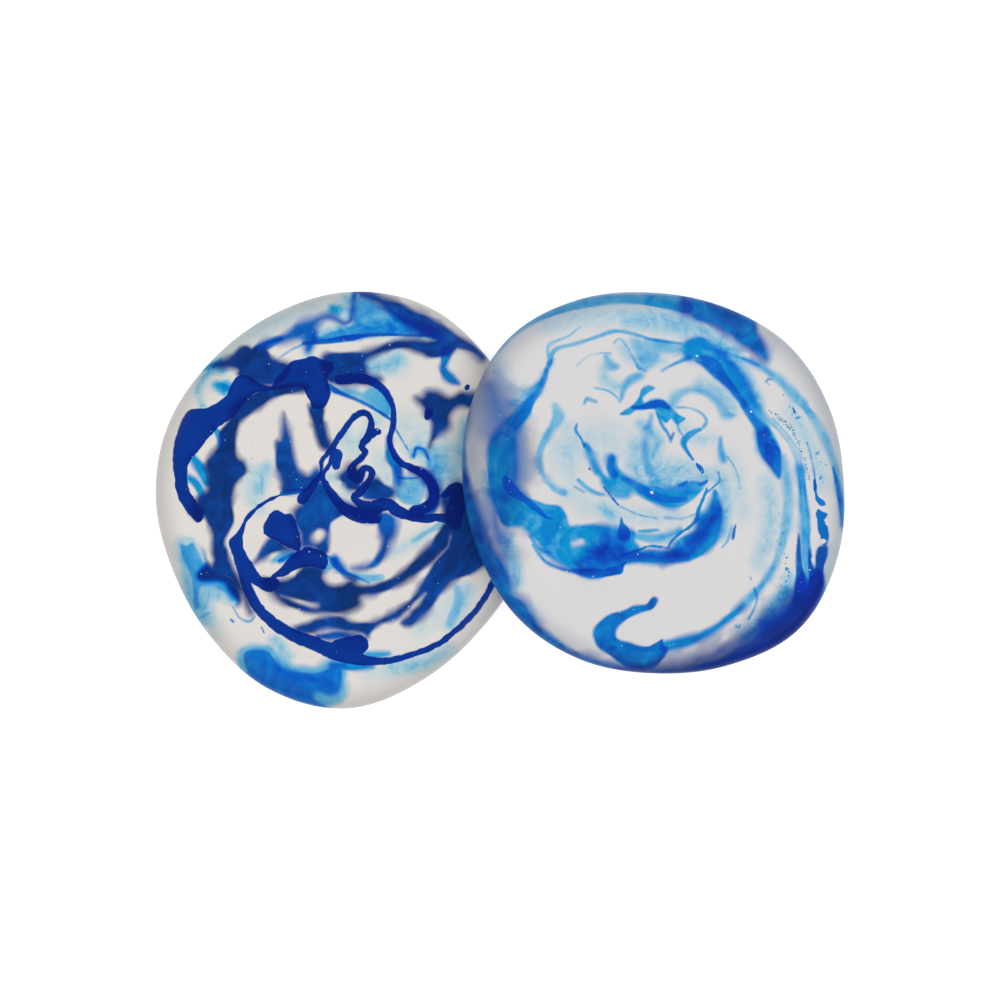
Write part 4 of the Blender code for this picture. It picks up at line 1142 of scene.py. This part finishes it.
def milky_resin(name, milk, painted_rim_shade, wobble, fade, blur, face_glow):
    """Milk with its layers of dye and painted haze, deepest first, and painted rim shade."""
    material = bpy.data.materials.new(name)
    material.use_nodes = True
    tree = material.node_tree
    shader = tree.nodes["Principled BSDF"]
    place = attribute(tree, "place", "Vector")
    depth = attribute(tree, "depth")
    shade = tuple(value * THIN_MILK for value in milk[:3]) + (1.0,)
    body = mix_colour(tree, noise_node(tree, place, *NOISES["body"]), shade, milk)
    flow = span(tree, noise_node(tree, place, *NOISES["flow"]), *NOISE_BAND, *FLOW)
    cloudy = span(tree, noise_node(tree, place, *NOISES["cloudy"]), *NOISE_BAND, fade, FULLEST)
    melt = span(tree, noise_node(tree, place, *NOISES["melt"]), *MELT_BAND, *MELT)
    wash = math_node(tree, "MULTIPLY", attribute(tree, "wash_dye"), flow)
    wisp = use_group(tree, WISPS, Place=place, **WISP_SIZE)
    wisp = math_node(tree, "MULTIPLY", wisp,
                     span(tree, attribute(tree, "wash_dye"), *WISP_WASH, 0.0, WISP_DYE))

    colour = body
    for label, lies, soft, wander, veil in LAYERS:
        under = math_node(tree, "ABSOLUTE", math_node(tree, "SUBTRACT", depth, lies))
        below = math_node(tree, "MAXIMUM", math_node(tree, "SUBTRACT", under, lies), 0.0)
        plain_edge = attribute(tree, label + "_edge")
        edge = use_group(tree, RUFFLE, Place=place, Edge=plain_edge, Wander=wander * wobble,
                         **(FINE_RUFFLE if lies < NEAR_FACE else BROAD_RUFFLE))
        softness = math_node(tree, "MULTIPLY_ADD", below, SOFT_BY_DEPTH,
                             math_node(tree, "MULTIPLY", melt, soft * blur))
        haze = math_node(tree, "MULTIPLY_ADD", below, VEIL_BY_DEPTH, veil)
        low, high = STREAK_SPREAD[label]
        streak = use_group(tree, STREAKS, Place=place, Edge=plain_edge, **STREAK_SIZE,
                           Low=low, High=high)
        dye = math_node(tree, "MULTIPLY", attribute(tree, label + "_dye"), streak)
        if label in CLOUDY_LAYERS:
            dye = math_node(tree, "MULTIPLY", dye, cloudy)
        colour = use_group(tree, DYE_LAYER, Behind=colour, Milk=body, Edge=edge,
                           Softness=softness, Amount=dye, Veil=haze,
                           Glow=face_glow if label == "surface" else DYE_GLOW)
        if label == "middle":
            thin = math_node(tree, "ADD", wash, wisp)
            colour = use_group(tree, DYE_LAYER, Behind=colour, Milk=body, Edge=-NO_DYE,
                               Amount=thin)

    # Painted shade: the colour darkens towards the rim, where the rolled edge turns from the light.
    rim_shade = mix_colour(tree, span(tree, attribute(tree, "rim"), 0.0, RIM_SHADE_BAND, 0.0, 1.0,
                                 "SMOOTHSTEP"), painted_rim_shade, (1, 1, 1, 1))
    colour = mix_colour(tree, 1.0, colour, rim_shade, "MULTIPLY")
    feed(tree, shader.inputs["Base Color"], colour)

    grain = noise_node(tree, place, *NOISES["grain"])
    feed(tree, shader.inputs["Roughness"], span(tree, grain, 0.0, 1.0, *ROUGHNESS))
    bump = add_node(tree, "ShaderNodeBump")
    bump.inputs["Strength"].default_value = GRAIN_STRENGTH
    bump.inputs["Distance"].default_value = GRAIN_HEIGHT
    feed(tree, bump.inputs["Height"], grain)
    feed(tree, shader.inputs["Normal"], bump.outputs["Normal"])

    parts = add_node(tree, "ShaderNodeSeparateColor")
    feed(tree, parts.inputs[0], colour)
    feed(tree, shader.inputs["Subsurface Weight"],
         span(tree, parts.outputs[0], *SCATTERS_FROM, 0.0, SCATTER))
    shader.inputs["Subsurface Radius"].default_value = (1.0, 1.0, 1.0)
    shader.inputs["Subsurface Scale"].default_value = SCATTER_REACH
    shader.inputs["IOR"].default_value = RESIN_IOR
    shader.inputs["Specular IOR Level"].default_value = SHINE
    return material


LOWER_MILK = (0.70, 0.665, 0.625, 1.0)
UPPER_MILK = (0.655, 0.64, 0.635, 1.0)
# The rim colours below are painted shade, greyer and bluer on the upper coaster.
LOWER_RESIN = milky_resin("milky_resin_warm", LOWER_MILK, painted_rim_shade=(0.74, 0.74, 0.75, 1.0),
                          wobble=0.45, fade=0.78, blur=0.7, face_glow=FACE_GLOW)
UPPER_RESIN = milky_resin("milky_resin_cool", UPPER_MILK, painted_rim_shade=(0.62, 0.67, 0.73, 1.0),
                          wobble=0.4, fade=0.58, blur=1.0, face_glow=DYE_GLOW)
print("materials", LOWER_RESIN.name, UPPER_RESIN.name)

# %% [markdown]
# Each casting goes to its seat and rides with its body. It takes the place of the packed
# coaster and of its pours, because the pours are now dye inside the same casting.

# %% Place the castings
def place_casting(mesh, seat, material, body, nodes):
    mesh.transform(seat)
    piece = bpy.data.objects.new(mesh.name, mesh)
    bpy.context.scene.collection.objects.link(piece)
    mesh.materials.append(material)
    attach(piece, body)
    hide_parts(*nodes)
    return piece


LOWER = place_casting(LOWER_MESH, LOWER_SEAT, LOWER_RESIN, "lower",
                      frame["record"]["behaviour"]["bodies"]["lower"])
UPPER = place_casting(UPPER_MESH, UPPER_SEAT, UPPER_RESIN, "upper",
                      frame["record"]["behaviour"]["bodies"]["upper"])
print("placed", LOWER.name, UPPER.name)

# %% [markdown]
# Fine drops of dye sit in the face, thrown off by the stirring stick, and small bubbles
# broke at the top and left pale pits with a raised lip. They are far smaller than the
# casting's mesh can show, so each is a tiny low dome with an uneven rim. A seeded random
# number scatters them along a line or over a whole face.

# %% Domes
DOME_SIDES = 9
DOME_RINGS = ((1.0, -0.05), (0.95, 0.010), (0.6, 0.026))   # share of radius, height in mm
DOME_TOP = 0.03        # mm above the face
UNEVEN = (0.75, 1.25)  # shares of the radius round a dome's rim
STRETCH = (1.0, 1.7)   # how much longer than wide a dome is


def dome_mesh(name, seat, spots, seed):
    """Low domes on the flat face. Each spot is x, y and radius in mm."""
    chance = np.random.default_rng(seed)
    points, faces = [], []
    turn = np.arange(DOME_SIDES) * math.tau / DOME_SIDES
    for x, y, radius in spots:
        first = len(points)
        uneven = radius * chance.uniform(*UNEVEN, DOME_SIDES)
        stretch, lean = chance.uniform(*STRETCH), chance.uniform(0, math.pi)
        for share, height in DOME_RINGS:
            along = uneven * share * np.cos(turn) * stretch
            across = uneven * share * np.sin(turn)
            px = x + along * math.cos(lean) - across * math.sin(lean)
            py = y + along * math.sin(lean) + across * math.cos(lean)
            points += [(a, b, THICKNESS + height) for a, b in zip(px, py)]
        points.append((x, y, THICKNESS + DOME_TOP))
        for ring in (0, 1):
            low, high = first + ring * DOME_SIDES, first + (ring + 1) * DOME_SIDES
            faces += [(low + k, low + (k + 1) % DOME_SIDES, high + (k + 1) % DOME_SIDES,
                       high + k) for k in range(DOME_SIDES)]
        top = first + 2 * DOME_SIDES
        faces += [(top + k, top + (k + 1) % DOME_SIDES, top + DOME_SIDES)
                  for k in range(DOME_SIDES)]
        faces.append(tuple(first + k for k in reversed(range(DOME_SIDES))))
    mesh = bpy.data.meshes.new(name)
    mesh.from_pydata(points, [], faces)
    mesh.shade_smooth()
    mesh.transform(seat)
    return mesh


print("domes have", DOME_SIDES * len(DOME_RINGS) + 1, "points each")

# %% [markdown]
# The drops follow the path of the stick, so they are scattered along a line. Bubbles rise
# anywhere, so they are scattered over the whole flat, and small ones are the most common.

# %% Scattering
FACE_MARGIN = 0.5      # mm kept clear of the rolled edge


def along_line(stations, count, spread, sizes, seed):
    """Spots scattered along a line."""
    chance = np.random.default_rng(seed)
    line = np.array(stations, dtype=float)
    rows = []
    for place in chance.uniform(0, len(line) - 1.001, count):
        k = int(place)
        x, y = line[k] + (place - k) * (line[k + 1] - line[k]) + chance.normal(0, spread, 2)
        rows.append((x, y, chance.uniform(*sizes)))
    return rows


def over_face(radii, count, sizes, seed):
    """Spots scattered evenly over the flat of a face."""
    chance = np.random.default_rng(seed)
    turn = chance.uniform(0, math.tau, count)
    reach = (rim_radius(radii, turn) - ROLL - FACE_MARGIN) * np.sqrt(chance.uniform(0, 1, count))
    size = sizes[0] + (sizes[1] - sizes[0]) * chance.uniform(0, 1, count) ** 2
    return list(zip(reach * np.cos(turn), reach * np.sin(turn), size))


print("scatter helpers ready")

# %% [markdown]
# A drop is bare blue resin and a bubble's lip is bare milk, so one colour with a little
# cloud in it is enough for either.

# %% Resin of the drops and bubbles
SPOT_CLOUD = (900.0, 2.0)     # noise scale per metre, and detail
SPOT_ROUGHER = 0.12           # what the cloud adds to the roughness
SPOT_SHINE = 0.1


def plain_resin(name, low, high, roughness):
    """One colour of resin with a little cloud in it."""
    material = bpy.data.materials.new(name)
    material.use_nodes = True
    tree = material.node_tree
    shader = tree.nodes["Principled BSDF"]
    spot = add_node(tree, "ShaderNodeTexCoord").outputs["Object"]
    cloud = noise_node(tree, spot, *SPOT_CLOUD)
    feed(tree, shader.inputs["Base Color"], mix_colour(tree, cloud, low, high))
    feed(tree, shader.inputs["Roughness"],
         span(tree, cloud, 0.0, 1.0, roughness, roughness + SPOT_ROUGHER))
    shader.inputs["Specular IOR Level"].default_value = SPOT_SHINE
    return material


BLUE_RESIN = plain_resin("blue_resin", (0.02, 0.20, 0.44, 1.0), (0.10, 0.36, 0.58, 1.0), 0.3)
BUBBLE_RESIN = plain_resin("bubble_resin", (0.50, 0.56, 0.62, 1.0), (0.74, 0.76, 0.78, 1.0),
                           0.3)
print("materials", BLUE_RESIN.name, BUBBLE_RESIN.name)

# %% [markdown]
# The drops lie mostly down the right side of the upper coaster, beside its long streaks.
# The lower coaster has only a few.

# %% Drops and bubbles
def place_domes(name, seat, spots, seed, material, body):
    mesh = dome_mesh(name, seat, spots, seed)
    mesh.materials.append(material)
    piece = bpy.data.objects.new(name, mesh)
    bpy.context.scene.collection.objects.link(piece)
    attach(piece, body)
    print(name, len(spots), "spots")


UPPER_DROPS = (
    along_line([(30.5, 20.0), (36.0, 15.6), (39.0, 11.4), (41.0, 6.0), (42.6, 0.4)], 90, 0.25,
               (0.06, 0.2), 1)
    + along_line([(32.0, 19.4), (36.0, 16.2), (38.6, 12.8)], 26, 0.3, (0.12, 0.26), 2)
    + along_line([(34.6, -8.0), (34.6, -15.0), (33.8, -24.0), (34.6, -30.0), (33.8, -35.0)],
                 60, 0.5, (0.05, 0.16), 3)
    + along_line([(35.4, -19.0), (35.8, -22.0), (36.0, -25.6), (35.6, -29.4)], 12, 0.3,
                 (0.15, 0.34), 4)
    + along_line([(31.0, 28.0), (37.0, 21.0), (43.0, 12.0), (46.0, 1.0)], 16, 0.8,
                 (0.08, 0.2), 5)
    + along_line([(29.0, -29.0), (29.4, -33.0), (28.6, -37.0)], 10, 0.4, (0.05, 0.13), 6)
    + [(36.0, -23.6, 0.5), (34.2, -16.8, 0.35), (34.8, -13.8, 0.25), (-13.4, -11.8, 0.2)])
LOWER_DROPS = (along_line([(-20.0, 8.0), (-24.0, -6.0), (-28.0, 22.0)], 8, 3.0, (0.06, 0.14), 7)
               + over_face(LOWER_RADII, 26, (0.05, 0.14), 8))
place_domes("upper_drops", UPPER_SEAT, UPPER_DROPS, 11, BLUE_RESIN, "upper")
place_domes("lower_drops", LOWER_SEAT, LOWER_DROPS, 12, BLUE_RESIN, "lower")
place_domes("upper_bubbles", UPPER_SEAT,
            over_face(UPPER_RADII, 110, (0.05, 0.17), 9)
            + [(-1.4, -2.8, 0.42), (46.0, -16.1, 0.5), (11.1, 34.4, 0.3), (26.0, 19.3, 0.3)],
            13, BUBBLE_RESIN, "upper")
place_domes("lower_bubbles", LOWER_SEAT, over_face(LOWER_RADII, 130, (0.05, 0.15), 10), 14,
            BUBBLE_RESIN, "lower")

# %% [markdown]
# The pair lies on plain white paper. The paper glows a little, so it stays pale everywhere
# without a strong lamp that would bleach the resin.

# %% Floor
FLOOR_REACH = 3.0      # m from the middle to each side
FLOOR_DROP = 0.0001    # m below the coasters, so that the two don't flicker
PAPER = (0.93, 0.93, 0.93, 1)
PAPER_ROUGHNESS = 0.9
PAPER_GLOW = 0.4


def make_floor():
    mesh = bpy.data.meshes.new("floor")
    corners = [(x * FLOOR_REACH, y * FLOOR_REACH, 0)
               for x, y in ((-1, -1), (1, -1), (1, 1), (-1, 1))]
    mesh.from_pydata(corners, [], [(0, 1, 2, 3)])
    floor = bpy.data.objects.new("floor", mesh)
    bpy.context.scene.collection.objects.link(floor)
    paper = bpy.data.materials.new("white_paper")
    paper.use_nodes = True
    shader = paper.node_tree.nodes["Principled BSDF"]
    shader.inputs["Base Color"].default_value = PAPER
    shader.inputs["Roughness"].default_value = PAPER_ROUGHNESS
    shader.inputs["Specular IOR Level"].default_value = 0.0
    shader.inputs["Emission Color"].default_value = (1, 1, 1, 1)
    shader.inputs["Emission Strength"].default_value = PAPER_GLOW
    mesh.materials.append(paper)
    floor.location.z = -FLOOR_DROP
    return floor


print("floor", make_floor().name, 2 * FLOOR_REACH, "m wide")

# %% [markdown]
# Four round softboxes stand round the pair and lean over it, one at each corner, and an
# even pale sky fills in. One big lamp overhead would mirror itself in both flat faces.
# From the corners the light is as even, but the faces keep their colour.

# %% Light
LAMPS = 4
LAMP_POWER = 4.0       # watts
LAMP_SIZE = 0.8        # m across
LAMP_REACH = 0.9       # m out from the middle
LAMP_HEIGHT = 0.95     # m
SKY = 0.50
SKY_COLOUR = (0.97, 0.98, 1.0, 1)


def add_softbox(name, place):
    light = bpy.data.lights.new(name, "AREA")
    light.shape = "DISK"
    light.size = LAMP_SIZE
    light.energy = LAMP_POWER
    lamp = bpy.data.objects.new(name, light)
    lamp.location = place
    lamp.rotation_euler = (-Vector(place)).to_track_quat("-Z", "Y").to_euler()
    bpy.context.scene.collection.objects.link(lamp)


for k in range(LAMPS):
    turn = math.tau * (k + 0.5) / LAMPS
    add_softbox("softbox_%d" % k,
                (LAMP_REACH * math.cos(turn), LAMP_REACH * math.sin(turn), LAMP_HEIGHT))
world = bpy.data.worlds.new("studio")
world.use_nodes = True
sky = world.node_tree.nodes["Background"]
sky.inputs["Color"].default_value = SKY_COLOUR
sky.inputs["Strength"].default_value = SKY
bpy.context.scene.world = world
print(LAMPS, "softboxes and a sky of", SKY)

# %% [markdown]
# The pair is looked at from straight above. A long lens keeps the outlines true, and its
# height follows from how wide a piece of table it should see.

# %% Camera
VIEW_WIDTH = 0.275     # m of table across the picture
LENS = 100.0           # mm
SENSOR = 36.0          # mm
FACE_HEIGHT = 0.006    # m, the height that the width is measured at


def add_camera():
    data = bpy.data.cameras.new("camera")
    data.lens = LENS
    data.sensor_width = SENSOR
    camera = bpy.data.objects.new("camera", data)
    camera.location = (0, 0, VIEW_WIDTH * LENS / SENSOR + FACE_HEIGHT)
    bpy.context.scene.collection.objects.link(camera)
    bpy.context.scene.camera = camera


add_camera()
bpy.context.scene.view_settings.view_transform = "Standard"
print("camera height", round(bpy.context.scene.camera.location.z, 3), "m")
